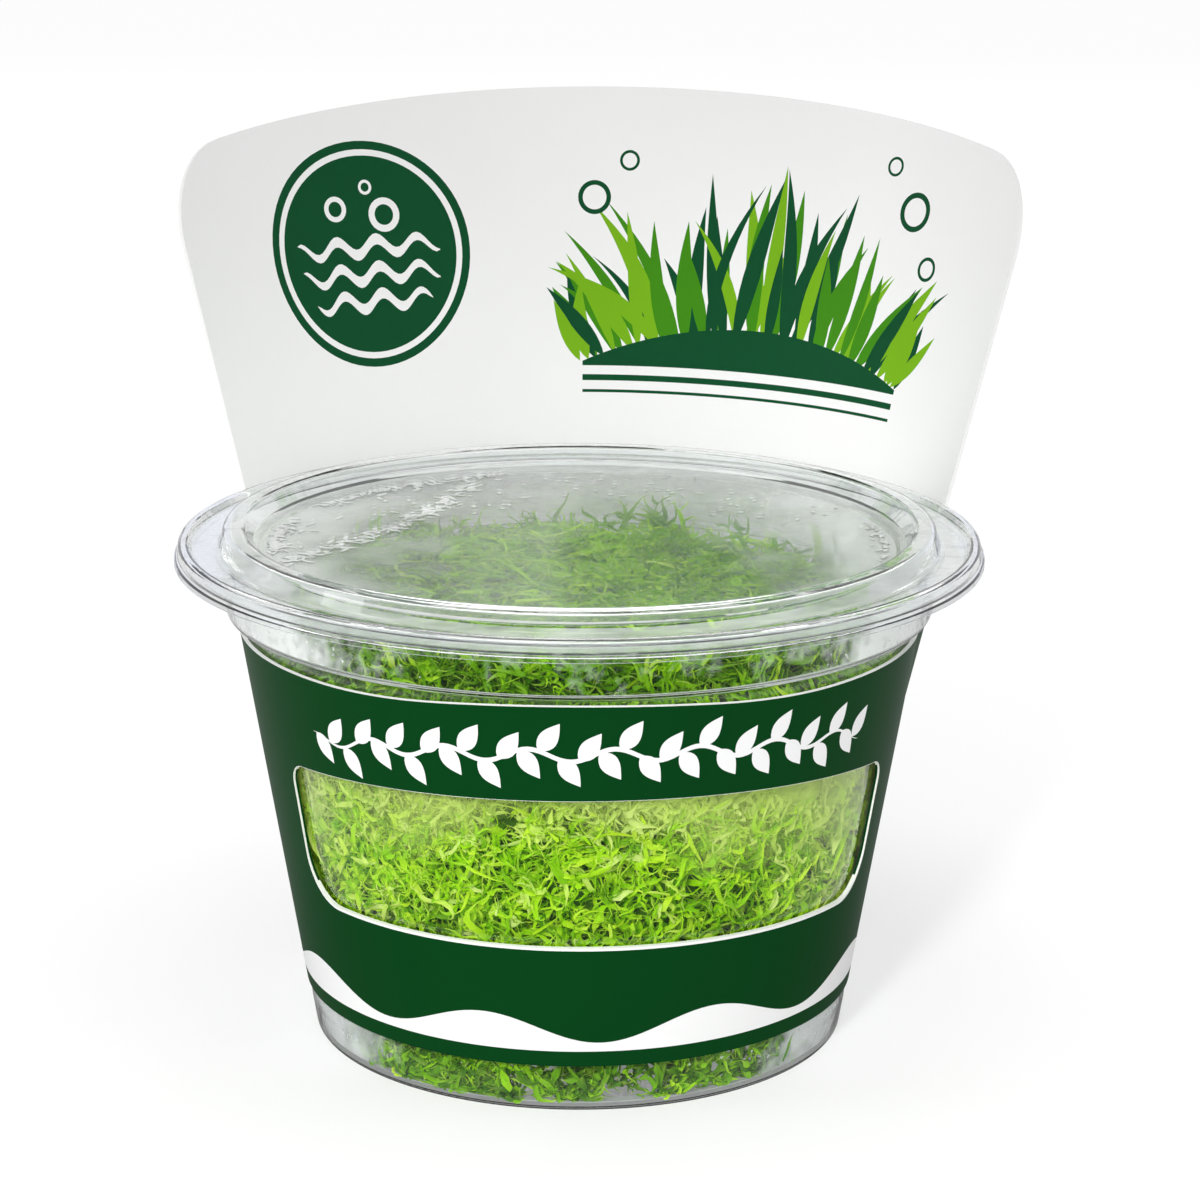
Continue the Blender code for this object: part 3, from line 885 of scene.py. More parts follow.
def meadowArt():
    # a strip of grass blades over a low mound, between two thin rules
    rng = np.random.default_rng(11)
    centre, foot = header["meadow"]
    half = header["meadowHalf"]
    low, high = header["bladeLength"]
    shapes = []
    roots = np.linspace(-half, half, header["blades"]) + rng.uniform(-0.5, 0.5, header["blades"])
    rng.shuffle(roots)
    for i, off in enumerate(roots):
        crown = max(0.0, 1 - (off / half) ** 2)
        length = low + (high - low) * rng.uniform(0.25, 1.0) * crown ** 0.7
        angle = 90 - off / half * 30 + rng.normal(0, 9)
        root = (centre + off, foot + header["meadowMound"] * crown * 0.5)
        ink = ("lime", "leaf", "deep")[i % 3]
        width, bend = rng.uniform(*header["bladeWidth"]), rng.normal(0, 0.2)
        shapes.append((leafShape(root, angle, length, width, bend, 12), ink))
    mound = [(centre + off, foot + header["meadowMound"] * (1 - (off / half) ** 2))
             for off in np.linspace(half, -half, 45)]
    base = [(centre + off, foot - 0.6) for off in np.linspace(-half, half, 45)]
    shapes.append((base + mound, "deep"))
    for down, thick in header["rules"]:
        edge = [(a, foot - down) for a in np.linspace(centre - half, centre + half, 45)]
        shapes.append((edge + [(a, z + thick) for a, z in reversed(edge)], "deep"))
    return shapes


def makeInk(name, colour, grain, level):
    made, tree, shader = newMaterial(name)
    group = useGroup(tree, grain, card["grain"])
    darker = tuple(c * (0.97 if level == card["gloss"] else 0.9) for c in colour) + (1.0,)
    mixed = mixColour(tree, group.outputs["Slow"], (*colour, 1.0), darker)
    tree.links.new(mixed, shader.inputs["Base Color"])
    shader.inputs["Roughness"].default_value = card["roughness"]
    shader.inputs["Specular IOR Level"].default_value = level
    bumpFrom(tree, group.outputs["Height"], shader, 0.25, card["grainDepth"])
    return made


inks = {                 # linear colours
    "green": (0.0006, 0.046, 0.0075),
    "deep": (0.0045, 0.07, 0.024),
    "white": (0.80, 0.805, 0.80),
    "paper": (0.84, 0.835, 0.835),
    "edge": (0.88, 0.88, 0.87),
    "lime": (0.18, 0.42, 0.012),
    "leaf": (0.05, 0.24, 0.008),
}


def makeCard(grain):
    names = list(inks)
    outline, window = cardOutline(), windowOutline()
    outside = [(outline, "green"), (waveBand(), "white"), (windowOutline(card["whiteLine"]), "white"),
               (window, None)] + makeGarland()
    inside = [(outline, "paper"), (window, None)] + headerArt()
    build = bmesh.new()
    for shapes, outer in ((outside, True), (inside, False)):
        places, triangles = fillPrint(shapes, cardGrid())
        verts = []
        for a, z in places:
            point = cardPoint(a, z)
            if outer:
                point = point + cardNormal(a, z) * card["thickness"] * mm
            verts.append(build.verts.new(point))
        for triangle, ink in triangles:
            corners = [verts[i] for i in triangle]
            face = build.faces.new(corners if not outer else corners[::-1])
            face.material_index = names.index(ink)
    # at the window's steep sides the inner share of the cut edge takes the green ink: a painted shadow line
    for loop, turned, share in ((outline, False, 0.0), (window, True, card["edgeShadowGreen"])):
        for start, end, ink in ((0.0, share, "green"), (share, 1.0, "edge")):
            rings = []
            for depth in (start, end):
                lift = depth * card["thickness"] * mm
                rings.append([build.verts.new(cardPoint(a, z) + cardNormal(a, z) * lift) for a, z in loop])
            for i in range(len(loop) if end > start else 0):
                j = (i + 1) % len(loop)
                corners = (rings[0][i], rings[0][j], rings[1][j], rings[1][i])
                face = build.faces.new(corners[::-1] if turned else corners)
                steep = abs(loop[j][1] - loop[i][1]) > abs(loop[j][0] - loop[i][0]) * card["flatScale"]
                face.material_index = names.index(ink if steep else "edge")
    bmesh.ops.remove_doubles(build, verts=build.verts, dist=card["merge"])
    bmesh.ops.recalc_face_normals(build, faces=build.faces)
    mesh = bpy.data.meshes.new("printed_sleeve")
    build.to_mesh(mesh)
    build.free()
    mesh.shade_smooth()
    mesh.set_sharp_from_angle(angle=math.radians(card["sharpAngle"]))
    levels = {name: card["gloss" if name in ("paper", "white", "edge") else "inkGloss"] for name in names}
    surfaces = [makeInk(name + "_print", inks[name], grain, levels[name]) for name in names]
    piece = placeMesh("printed_sleeve", mesh, *surfaces)
    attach(piece, "root")
    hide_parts("card_sleeve")
    print("card:", len(mesh.polygons), "faces")
    return piece


# Condensation inside the lid and cup, with painted highlights and painted light on the plastic
water = {
    "seed": 21,
    "dropZ": 62.36,
    "filmRadius": 39.6,
    "dropRings": 3,
    "dropSides": 9,
    "dropHeight": 0.35,
    "dropClear": 0.85,    # small drops scatter some of the light
    "wallDrops": 600,
    "wallDropSize": (0.08, 0.26),
    "wallDropTurn": 26,   # their spread about the two sides, degrees
    "collarDropZ": (55.5, 60.5),
    "footDropZ": (2.9, 12.0),
    "dropStretch": (0.7, 1.3),
    "dropWobble": 0.15,
    "dropSharpAngle": 60,
    "strokeSeed": 33,
    "strokeSections": 6,
    "strokeWidth": (0.35, 0.75),
    "strokeDepth": 0.1,
    "strokeMargin": 1.4,  # from the film's edge
    "strokeRoughness": 0.12,
    "edgeGrow": 0.16,     # the painted-shade strokes are wider than the painted-highlight ones and hang below them
    "edgeDrop": 0.14,
    "gap": 0.12,          # from the plastic to a film
    "colour": (0.95, 0.97, 0.96),
    "roughness": 0.05,
    "ior": 1.33,
    "mistRoughness": 0.5,
    "mistSteps": 120,
    # white strokes stand for the runs' glints, a painted highlight; dark strokes for their edges, painted
    # shade
    "painted_glint_water": (0.95, 0.96, 0.95),
    "painted_glint_water_alpha": 0.9,
    "shaded_water": (0.16, 0.22, 0.13),
    "shaded_water_alpha": 0.45,
    # streaks under the lid's panel: a line of places right of and behind the axis, count, spread, lengths
    "patches": (
        (((-35.4, -10.4), (-29.8, -2.8), (-22.9, 7.7), (-18.3, 18.7), (-14.8, 30.2)), 120, 1.0, (0.9, 2.8)),
        (((-34.0, 18.4), (-26.0, 28.5), (-11.1, 37.2)), 60, 1.2, (0.9, 2.6)),
        (((-38.4, -6.0), (-38.8, 0.0), (-37.0, 9.0)), 80, 1.4, (0.8, 2.2)),
        (((37.8, -8.0), (38.7, 0.0), (37.2, 10.0)), 40, 1.3, (0.4, 1.3)),
        (((-30.0, 10.0), (0.0, 34.0), (30.0, 14.0)), 70, 4.0, (0.3, 1.0)),
    ),
}
mists = {                # films of tiny drops, and films of painted light and painted highlight; a lean counts per metre and is added to the noise
    "lid_mist": {"colour": (0.42, 0.43, 0.41), "look": {
        "Scale": 130.0, "Detail": 2.0, "Lean": (-2.5, 8.0, 0.0), "Side Lean": 2.0,
        "Start": 0.45, "End": 1.0, "Least": 0.04, "Most": 0.58}},
    "lid_side_mist": {"colour": (0.80, 0.82, 0.81), "look": {
        "Scale": 90.0, "Detail": 1.5, "Side Lean": 30.0, "Start": 1.05, "End": 1.6, "Most": 0.75}},
    "collar_mist": {"colour": (0.92, 0.94, 0.92), "look": {
        "Scale": 260.0, "Detail": 2.0, "Side Lean": 40.0, "Start": 1.5, "End": 1.95, "Most": 0.9}},
    "foot_mist": {"colour": (0.82, 0.86, 0.84), "look": {
        "Scale": 170.0, "Detail": 2.0, "Side Lean": 60.0, "Start": 1.78, "End": 2.2, "Most": 0.75}},
    # pale line along the cup's inner ledge: a painted highlight
    "ledge_highlight_paint": {"colour": (0.78, 0.80, 0.79), "look": {
        "Scale": 300.0, "Start": 0.2, "End": 0.8, "Least": 0.55, "Most": 0.85}},
    # a lime film over the leaves, thickest near the window's top and sides: painted light on leaves that the
    # card shades
    "window_painted_light": {"colour": (0.70, 0.92, 0.20), "look": {
        "Scale": 60.0, "Detail": 2.0, "Lean": (0, 0, 38.0), "Side Lean": 5.0,
        "Start": 1.8, "End": 2.3, "Most": 0.42}},
    # pale film under the lid's flange and inside the foot ring: a painted highlight on the plastic
    "rim_highlight_paint": {"colour": (0.84, 0.87, 0.88), "look": {
        "Scale": 260.0, "Start": 0.3, "End": 0.7, "Least": 0.25, "Most": 0.55}},
    "ring_mist": {"colour": (0.86, 0.88, 0.87), "look": {
        "Scale": 120.0, "Detail": 2.0, "Start": 0.3, "End": 0.7, "Least": 0.3, "Most": 0.62}},
    "damp_mist": {"colour": (0.80, 0.84, 0.80), "look": {
        "Scale": 300.0, "Lean": (0, 0, 42.0), "Start": 2.98, "End": 3.2, "Most": 0.3}},
}


def waterMaterial():
    made, tree, shader = newMaterial("water_drops")
    shader.inputs["Base Color"].default_value = (*water["colour"], 1)
    shader.inputs["Roughness"].default_value = water["roughness"]
    shader.inputs["IOR"].default_value = water["ior"]
    shader.inputs["Transmission Weight"].default_value = water["dropClear"]
    passLamps(made, shader, (1.0, 1.0, 1.0))
    return made


def buildMistAmount():
    # alpha of a thin uneven film, of tiny drops or of painted light: noise, a slope and the distance to
    # either side
    tree = bpy.data.node_groups.new("mist amount", "ShaderNodeTree")
    groupSocket(tree, "Scale", "INPUT", "NodeSocketFloat", 200.0)
    groupSocket(tree, "Detail", "INPUT", "NodeSocketFloat", 3.0)
    groupSocket(tree, "Lean", "INPUT", "NodeSocketVector")
    groupSocket(tree, "Side Lean", "INPUT", "NodeSocketFloat", 0.0)
    for name, value in (("Start", 0.4), ("End", 0.9), ("Least", 0.0), ("Most", 0.6)):
        groupSocket(tree, name, "INPUT", "NodeSocketFloat", value)
    groupSocket(tree, "Alpha", "OUTPUT", "NodeSocketFloat")
    inside = tree.nodes.new("NodeGroupInput")
    outside = tree.nodes.new("NodeGroupOutput")
    place = tree.nodes.new("ShaderNodeTexCoord").outputs["Object"]
    cloud = noiseNode(tree, place, 200.0, 3.0, 0.65).node
    tree.links.new(inside.outputs["Scale"], cloud.inputs["Scale"])
    tree.links.new(inside.outputs["Detail"], cloud.inputs["Detail"])
    slope = tree.nodes.new("ShaderNodeVectorMath")
    slope.operation = "DOT_PRODUCT"
    tree.links.new(place, slope.inputs[0])
    tree.links.new(inside.outputs["Lean"], slope.inputs[1])
    split = tree.nodes.new("ShaderNodeSeparateXYZ")
    tree.links.new(place, split.inputs[0])
    across = mathNode(tree, "ABSOLUTE", mathNode(tree, "SUBTRACT", split.outputs["X"], axisX))
    sides = mathNode(tree, "MULTIPLY", across, inside.outputs["Side Lean"])
    total = mathNode(tree, "ADD", cloud.outputs["Fac"], slope.outputs["Value"])
    total = mathNode(tree, "ADD", total, sides)
    spread = tree.nodes.new("ShaderNodeMapRange")
    tree.links.new(total, spread.inputs["Value"])
    ends = {"Start": "From Min", "End": "From Max", "Least": "To Min", "Most": "To Max"}
    for name, socket in ends.items():
        tree.links.new(inside.outputs[name], spread.inputs[socket])
    tree.links.new(spread.outputs["Result"], outside.inputs["Alpha"])
    return tree


def mistMaterial(name, amount):
    kind = mists[name]
    made, tree, shader = newMaterial(name)
    group = useGroup(tree, amount, kind["look"])
    shader.inputs["Base Color"].default_value = (*kind["colour"], 1)
    shader.inputs["Roughness"].default_value = water["mistRoughness"]
    tree.links.new(group.outputs["Alpha"], shader.inputs["Alpha"])
    return made


def scatterAlong(rng, line, count, spread):
    # places near a broken line, within the lid's panel
    line = np.array(line)
    ends = np.concatenate(((0.0,), np.cumsum(np.linalg.norm(np.diff(line, axis=0), axis=1))))
    at = rng.random(count) * ends[-1]
    places = np.stack([np.interp(at, ends, line[:, i]) for i in (0, 1)], axis=1)
    places = places + rng.normal(0, spread, (count, 2))
    far = np.linalg.norm(places, axis=1, keepdims=True)
    return places * np.minimum(1.0, (water["filmRadius"] - water["strokeMargin"]) / far)


def waterStrokes(name, places, lengths, surface, grow, drop):
    # short bent runs of water hanging under the lid, each a shallow gutter with pointed ends; white ones are
    # painted highlights, dark ones painted shade at their edges
    rng = np.random.default_rng(water["strokeSeed"])
    count, sections = len(places), water["strokeSections"]
    t = np.linspace(-0.5, 0.5, sections)
    turn = rng.uniform(0, math.tau, (count, 1)) + rng.normal(0, 1.5, (count, 1)) * t
    width = rng.uniform(*water["strokeWidth"], (count, 1)) + grow
    heading = np.stack((np.cos(turn), np.sin(turn)), axis=-1)
    step = (lengths + grow)[:, None, None] / (sections - 1)
    middle = np.array(places)[:, None] + np.cumsum(heading * step, axis=1)
    middle = middle - heading.sum(1, keepdims=True) * step / 2
    half = width / 2 * np.sqrt(np.clip(1.03 - (2 * t) ** 2, 0.0, 1.0))
    across = np.stack((-heading[..., 1], heading[..., 0]), axis=-1) * half[..., None]
    flat = np.stack((middle - across, middle, middle + across), axis=2)
    level = np.array((0.0, -water["strokeDepth"], 0.0)) + water["dropZ"] - drop
    level = np.broadcast_to(level, flat.shape[:3])
    mesh = gutterMesh(name, np.concatenate((flat, level[..., None]), axis=-1))
    piece = placeMesh(name, mesh, surface)
    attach(piece, "root")


def strokeMaterial(name):
    made, tree, shader = newMaterial(name)
    shader.inputs["Base Color"].default_value = (*water[name], 1)
    shader.inputs["Roughness"].default_value = water["strokeRoughness"]
    shader.inputs["Alpha"].default_value = water[name + "_alpha"]
    return made


def dropDomes(name, rng, places, normals, sizes, surface):
    # flattened domes of water hanging from the plastic, each closed by its flat side
    rings, sides = water["dropRings"], water["dropSides"]
    build = bmesh.new()
    for place, normal, size in zip(places, normals, sizes):
        out = Vector(normal).normalized()
        first = out.orthogonal().normalized()
        second = out.cross(first)
        stretch, turn = rng.uniform(*water["dropStretch"]), rng.uniform(0, math.tau)
        loops = []
        for ring in range(rings):
            lift = ring / rings
            reach = math.sqrt(1 - lift * lift)
            loop = []
            for i in range(sides):
                angle = math.tau * i / sides + turn
                wobble = 1 + water["dropWobble"] * math.sin(2 * angle + turn * 3)
                across = first * math.cos(angle) * stretch + second * math.sin(angle) / stretch
                loop.append(build.verts.new(onAxis(*(Vector(place) + across * size * reach * wobble
                                                     + out * size * water["dropHeight"] * lift))))
            loops.append(loop)
        tip = build.verts.new(onAxis(*(Vector(place) + out * size * water["dropHeight"])))
        for lower, upper in zip(loops, loops[1:]):
            for i in range(sides):
                build.faces.new((lower[i], lower[(i + 1) % sides], upper[(i + 1) % sides], upper[i]))
        for i in range(sides):
            build.faces.new((loops[-1][i], loops[-1][(i + 1) % sides], tip))
        build.faces.new(loops[0][::-1])
    mesh = bpy.data.meshes.new(name)
    build.to_mesh(mesh)
    build.free()
    mesh.shade_smooth()
    mesh.set_sharp_from_angle(angle=math.radians(water["dropSharpAngle"]))
    piece = placeMesh(name, mesh, surface)
    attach(piece, "root")
    print(name, len(sizes), "drops")


films = {                # "at" holds radii at the height z, heights along the cup's inside, or rows of both
    "lid_mist_film": {"look": "lid_mist", "z": 61.95, "at": (0.5, 10, 20, 30, 39.6)},
    "lid_side_film": {"look": "lid_side_mist", "z": 61.99, "at": (0.5, 10, 20, 30, 39.6)},
    "collar_mist_left": {"look": "collar_mist", "along": "collar", "at": (55.3, 57.0, 59.0, 60.4),
                         "turns": (-30, -150)},
    "foot_mist_left": {"look": "foot_mist", "along": "wall", "at": (1.2, 3.0, 5.3, 6.2, 9.0, 12.0),
                       "turns": (-30, -150)},
    "collar_mist_right": {"look": "collar_mist", "along": "collar", "at": (55.3, 57.0, 59.0, 60.4),
                          "turns": (30, 150)},
    "foot_mist_right": {"look": "foot_mist", "along": "wall", "at": (1.2, 3.0, 5.3, 6.2, 9.0, 12.0),
                        "turns": (30, 150)},
    "window_light_film": {"look": "window_painted_light", "along": "wall", "at": (30.0, 34.0, 38.0, 43.0),
                         "turns": (-76, 70)},
    "rim_sheen_ring": {"look": "rim_highlight_paint", "z": 61.75, "at": (45.6, 47.0, 48.8)},
    "ring_mist_film": {"look": "ring_mist", "z": 62.12, "at": (40.1, 42.0, 44.0, 45.5)},
    "collar_top_mist": {"look": "damp_mist", "along": "collar", "gap": 0.16, "at": (55.0, 57.0, 59.0, 61.0)},
    "foot_ring_sheen": {"look": "rim_highlight_paint", "at": ((31.2, 0.75), (32.0, 0.62), (32.8, 0.7), (33.1, 1.0))},
    "ledge_highlight_film": {"look": "ledge_highlight_paint", "at": ((42.35, 54.86), (42.9, 54.93), (43.4, 54.98))},
}


def filmRows(film):
    # radius and height of each row
    gap = film.get("gap", water["gap"])
    if film.get("along") == "collar":
        return [(collarInside(z) - gap, z) for z in film["at"]]
    if film.get("along") == "wall":
        return [(float(wallInside(z)) - gap, z) for z in film["at"]]
    return [(radius, film["z"]) for radius in film["at"]] if "z" in film else film["at"]


def makeMist(name, surface):
    steps = water["mistSteps"]
    rows = filmRows(films[name])
    first, last = films[name].get("turns", (0, 360))   # degrees from the front towards the right
    verts, faces = [], []
    for radius, z in rows:
        for i in range(steps + 1):
            phi = math.radians(first + (last - first) * i / steps)
            verts.append(onAxis(radius * math.sin(phi), -radius * math.cos(phi), z))
    for row in range(len(rows) - 1):
        for i in range(steps):
            corner = row * (steps + 1) + i
            faces.append((corner, corner + 1, corner + steps + 2, corner + steps + 1))
    mesh = bpy.data.meshes.new(name)
    mesh.from_pydata(verts, [], faces)
    mesh.shade_smooth()
    piece = placeMesh(name, mesh, surface)
    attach(piece, "root")


def makeWater():
    rng = np.random.default_rng(water["seed"])
    amount = buildMistAmount()
    soft = {name: mistMaterial(name, amount) for name in mists}
    for name, film in films.items():
        makeMist(name, soft[film["look"]])
    places = [scatterAlong(rng, *patch[:3]) for patch in water["patches"]]
    lengths = [rng.uniform(*size, count) for _, count, _, size in water["patches"]]
    places, lengths = np.concatenate(places), np.concatenate(lengths)
    # white strokes as painted highlights, and wider dark ones hanging below them as painted shade at their
    # edges
    waterStrokes("lid_glint_strokes", places, lengths, strokeMaterial("painted_glint_water"), 0.0, 0.0)
    waterStrokes("lid_shade_strokes", places, lengths, strokeMaterial("shaded_water"),
                 water["edgeGrow"], water["edgeDrop"])
    # inside the collar and low on the wall, thickest at the two sides
    places, normals, sizes = [], [], []
    for i in range(water["wallDrops"]):
        side = 1 if rng.random() < 0.5 else -1
        turn = math.radians(side * (90 - abs(rng.normal(0, water["wallDropTurn"]))))
        collar = i % 2 == 0
        z = rng.uniform(*water["collarDropZ" if collar else "footDropZ"])
        radius = (collarInside(z) if collar else float(wallInside(z))) - water["gap"] / 2
        places.append((radius * math.sin(turn), -radius * math.cos(turn), z))
        normals.append((-math.sin(turn), math.cos(turn), 0))
        sizes.append(rng.uniform(*water["wallDropSize"]))
    dropDomes("wall_drops", rng, places, normals, sizes, waterMaterial())


# Plants
plants = {
    "gap": 0.22,          # between the plastic and the nearest leaf
    "floor": 2.95,
    "grooveFloor": 0.85,  # inside the foot ring
    "grooveStart": 29.9,
    "grooveSlope": 1.45,
    "ceiling": 61.7,
    "moundTop": 58.4,
    "moundEdge": 25.0,    # the mound's top is nearly flat inside this radius
    "moundReach": 36.5,   # and ends at this one
    "moundFoot": 52.0,
    "coreDepth": 3.4,
    "coreFootDepth": 1.3,
    "coreFootRadius": 32.4,
    "coreSideways": 6.5,  # it stands back by this from the wall at the foot's two sides
    "sections": 7,
    "forkShare": 0.7,
    "pieceLimit": 8000,   # leaves in one mesh
}


def moundTop(radius):
    # height of the leaf mass at a distance from the axis
    inner = np.minimum(radius, plants["moundEdge"])
    past = np.clip((radius - plants["moundEdge"]) / (plants["moundReach"] - plants["moundEdge"]), 0.0, 1.2)
    flat = plants["moundTop"] - 1.1 * (inner / plants["moundEdge"]) ** 2
    return flat - (flat - plants["moundFoot"]) * past ** 1.7


def floorUnder(radius):
    # lowest height for a leaf: the raised floor, and the hollow of the foot ring beyond it
    drop = (radius - plants["grooveStart"]) * plants["grooveSlope"]
    return np.clip(plants["floor"] - drop, plants["grooveFloor"], plants["floor"])


def wallInside(z):
    # room for leaves at a height: the cup's inner wall, and the mound's own edge above the window
    below = np.clip((cup["footBandZ"] - z) / (cup["footBandZ"] - cup["footSlopeZ"]), 0.0, 1.0)
    wall = wallRadius(z) - cup["sheet"] + below * cup["footBand"]
    mound = plants["moundReach"] + 1.4 * np.maximum(0.0, 52.0 - z)
    return np.where(z > 47.0, np.minimum(wall, mound), wall)


def ribbonPaths(rng, roots, ahead, side, length, bend):
    # middle line, and the two directions across it, of many curling leaves at once
    count, sections = len(roots), plants["sections"]
    ahead = ahead / np.linalg.norm(ahead, axis=1, keepdims=True)
    side = side - (side * ahead).sum(1, keepdims=True) * ahead
    side /= np.linalg.norm(side, axis=1, keepdims=True)
    up = np.cross(side, ahead)
    t = np.linspace(0.0, 1.0, sections)
    ripple = rng.normal(0, 0.8, (count, 1)) * np.sin(math.tau * (t * 0.9 + rng.random((count, 1))))
    sway = rng.normal(0, 0.9, (count, 1)) * np.sin(math.tau * (t * 0.8 + rng.random((count, 1))))
    lift = bend[:, None] * t + ripple
    forward = ((np.cos(lift) * np.cos(sway))[..., None] * ahead[:, None]
               + (np.sin(lift) * np.cos(sway))[..., None] * up[:, None]
               + np.sin(sway)[..., None] * side[:, None])
    steps = forward * (length / (sections - 1))[:, None, None]
    middle = roots[:, None] + np.cumsum(steps, axis=1) - steps[:, :1]
    normal = np.cos(lift)[..., None] * up[:, None] - np.sin(lift)[..., None] * ahead[:, None]
    return middle, forward, side[:, None] * np.ones((1, sections, 1)), normal


def leafSheet(name, rng, roots, ahead, length, width, bend, tint, flatten, surface):
    side = rng.normal(0, 1, (len(roots), 3))
    middle, forward, across, normal = ribbonPaths(rng, roots, ahead, side, length, bend)
    parents = np.flatnonzero(rng.random(len(roots)) < plants["forkShare"])
    parts = [(middle, across, normal, width, tint)]
    for turn in (-1.0, 1.0):
        at = rng.integers(1, 4, len(parents))
        splay = turn * rng.uniform(0.5, 1.1, len(parents))[:, None]
        start = middle[parents, at]
        away = forward[parents, at] * np.cos(splay) + across[parents, at] * np.sin(splay)
        short = length[parents] * rng.uniform(0.35, 0.65, len(parents))
        branch = ribbonPaths(rng, start, away, normal[parents, at] * 0.3 + across[parents, at], short,
                             bend[parents] * rng.uniform(-0.6, 1.2, len(parents)))
        parts.append((branch[0], branch[2], branch[3], width[parents] * 0.85, tint[parents] + 0.04))
    for part, owners in zip(parts, (slice(None), parents, parents)):
        level = roots[owners, 2:3]
        part[0][..., 2] = level + (part[0][..., 2] - level) * flatten
    middle, across, normal = (np.concatenate([p[i] for p in parts]) for i in range(3))
    width, tint = (np.concatenate([p[i] for p in parts]) for i in (3, 4))
    limit = plants["pieceLimit"]
    for part in range(math.ceil(len(width) / limit)):
        some = slice(part, None, math.ceil(len(width) / limit))
        makeRibbons(f"{name}_{part + 1}", rng, middle[some], across[some], normal[some], width[some],
                    tint[some], surface)


def makeRibbons(name, rng, middle, across, normal, width, tint, surface):
    # each leaf is a shallow gutter of three points at every section
    count, sections = middle.shape[:2]
    t = np.linspace(0.0, 1.0, sections)
    twist = rng.normal(0, 1.2, (count, 1)) * t + rng.uniform(-0.5, 0.5, (count, 1))
    flat = np.cos(twist)[..., None] * across + np.sin(twist)[..., None] * normal
    facing = np.cos(twist)[..., None] * normal - np.sin(twist)[..., None] * across
    half = width[:, None] / 2 * (0.5 + 0.5 * np.sin(math.pi * np.minimum(1.0, t * 1.25 + 0.1)))
    half = half * (1 - 0.88 * t ** 3)
    margin = (plants["gap"] + rng.random((count, 1)) ** 1.5 * 1.3)
    radius = np.hypot(middle[..., 0], middle[..., 1])
    squeeze = np.minimum(1.0, (wallInside(middle[..., 2]) - margin) / np.maximum(radius, 1e-6))
    middle[..., :2] *= squeeze[..., None]
    low = floorUnder(radius * squeeze) + margin * 0.4
    middle[..., 2] = np.clip(middle[..., 2], low, plants["ceiling"] - margin * 0.4)
    cupped = facing * half[..., None] * 0.55
    flat = flat * half[..., None]
    mesh = gutterMesh(name, np.stack((middle - flat + cupped, middle, middle + flat + cupped), axis=2))
    tints = mesh.attributes.new("tint", "FLOAT", "POINT")
    tints.data.foreach_set("value", np.repeat(np.clip(tint, 0, 1), sections * 3).astype(np.float32))
    along = mesh.attributes.new("along", "FLOAT", "POINT")
    along.data.foreach_set("value", np.tile(np.repeat(t, 3), count).astype(np.float32))
    piece = placeMesh(name, mesh, surface)
    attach(piece, "root")
    print(name, count, "leaves", len(mesh.polygons) * 2, "triangles")


leaf = {                 # linear colours, from dark to pale
    "colours": ((0.10, (0.045, 0.20, 0.0)), (0.38, (0.20, 0.52, 0.0)), (0.60, (0.42, 0.84, 0.0)),
                (0.82, (0.66, 0.95, 0.03)), (1.0, (0.82, 0.94, 0.36))),
    "tip": (0.80, 0.96, 0.16),
    "tipShare": 0.5,
    "roughness": 0.2,
    "gloss": 0.32,
    "seeThrough": 0.35,
    "shaded": ((0.3, (0.02, 0.07, 0.002)), (0.7, (0.10, 0.26, 0.006))),   # the solid mass behind the leaves
    "shadedRoughness": 0.6,
}


def leafMaterial():
    made, tree, shader = newMaterial("living_leaf")
    tint = tree.nodes.new("ShaderNodeAttribute")
    tint.attribute_name = "tint"
    along = tree.nodes.new("ShaderNodeAttribute")
    along.attribute_name = "along"
    place = tree.nodes.new("ShaderNodeTexCoord").outputs["Object"]
    patch = noiseNode(tree, place, 110.0, 2.0)
    mixed = mathNode(tree, "ADD", mathNode(tree, "MULTIPLY", tint.outputs["Fac"], 0.8),
                     mathNode(tree, "MULTIPLY", patch, 0.25))
    colour = rampNode(tree, mixed, leaf["colours"])
    # each leaf is painted paler towards its tip: a painted highlight
    tip = mathNode(tree, "MULTIPLY", mathNode(tree, "POWER", along.outputs["Fac"], 3.0), leaf["tipShare"])
    pale = mixColour(tree, tip, colour, (*leaf["tip"], 1.0))
    tree.links.new(pale, shader.inputs["Base Color"])
    shader.inputs["Roughness"].default_value = leaf["roughness"]
    shader.inputs["Specular IOR Level"].default_value = leaf["gloss"]
    through = tree.nodes.new("ShaderNodeBsdfTranslucent")
    tree.links.new(pale, through.inputs["Color"])
    mixShaders(made, leaf["seeThrough"], shader, through)
    return made


def coreMaterial():
    made, tree, shader = newMaterial("shaded_leaf_mass")
    place = tree.nodes.new("ShaderNodeTexCoord").outputs["Object"]
    patch = noiseNode(tree, place, 450.0, 4.0)
    tree.links.new(rampNode(tree, patch, leaf["shaded"]), shader.inputs["Base Color"])
    shader.inputs["Roughness"].default_value = leaf["shadedRoughness"]
    bumpFrom(tree, patch, shader, 0.6, 0.001)
    return made


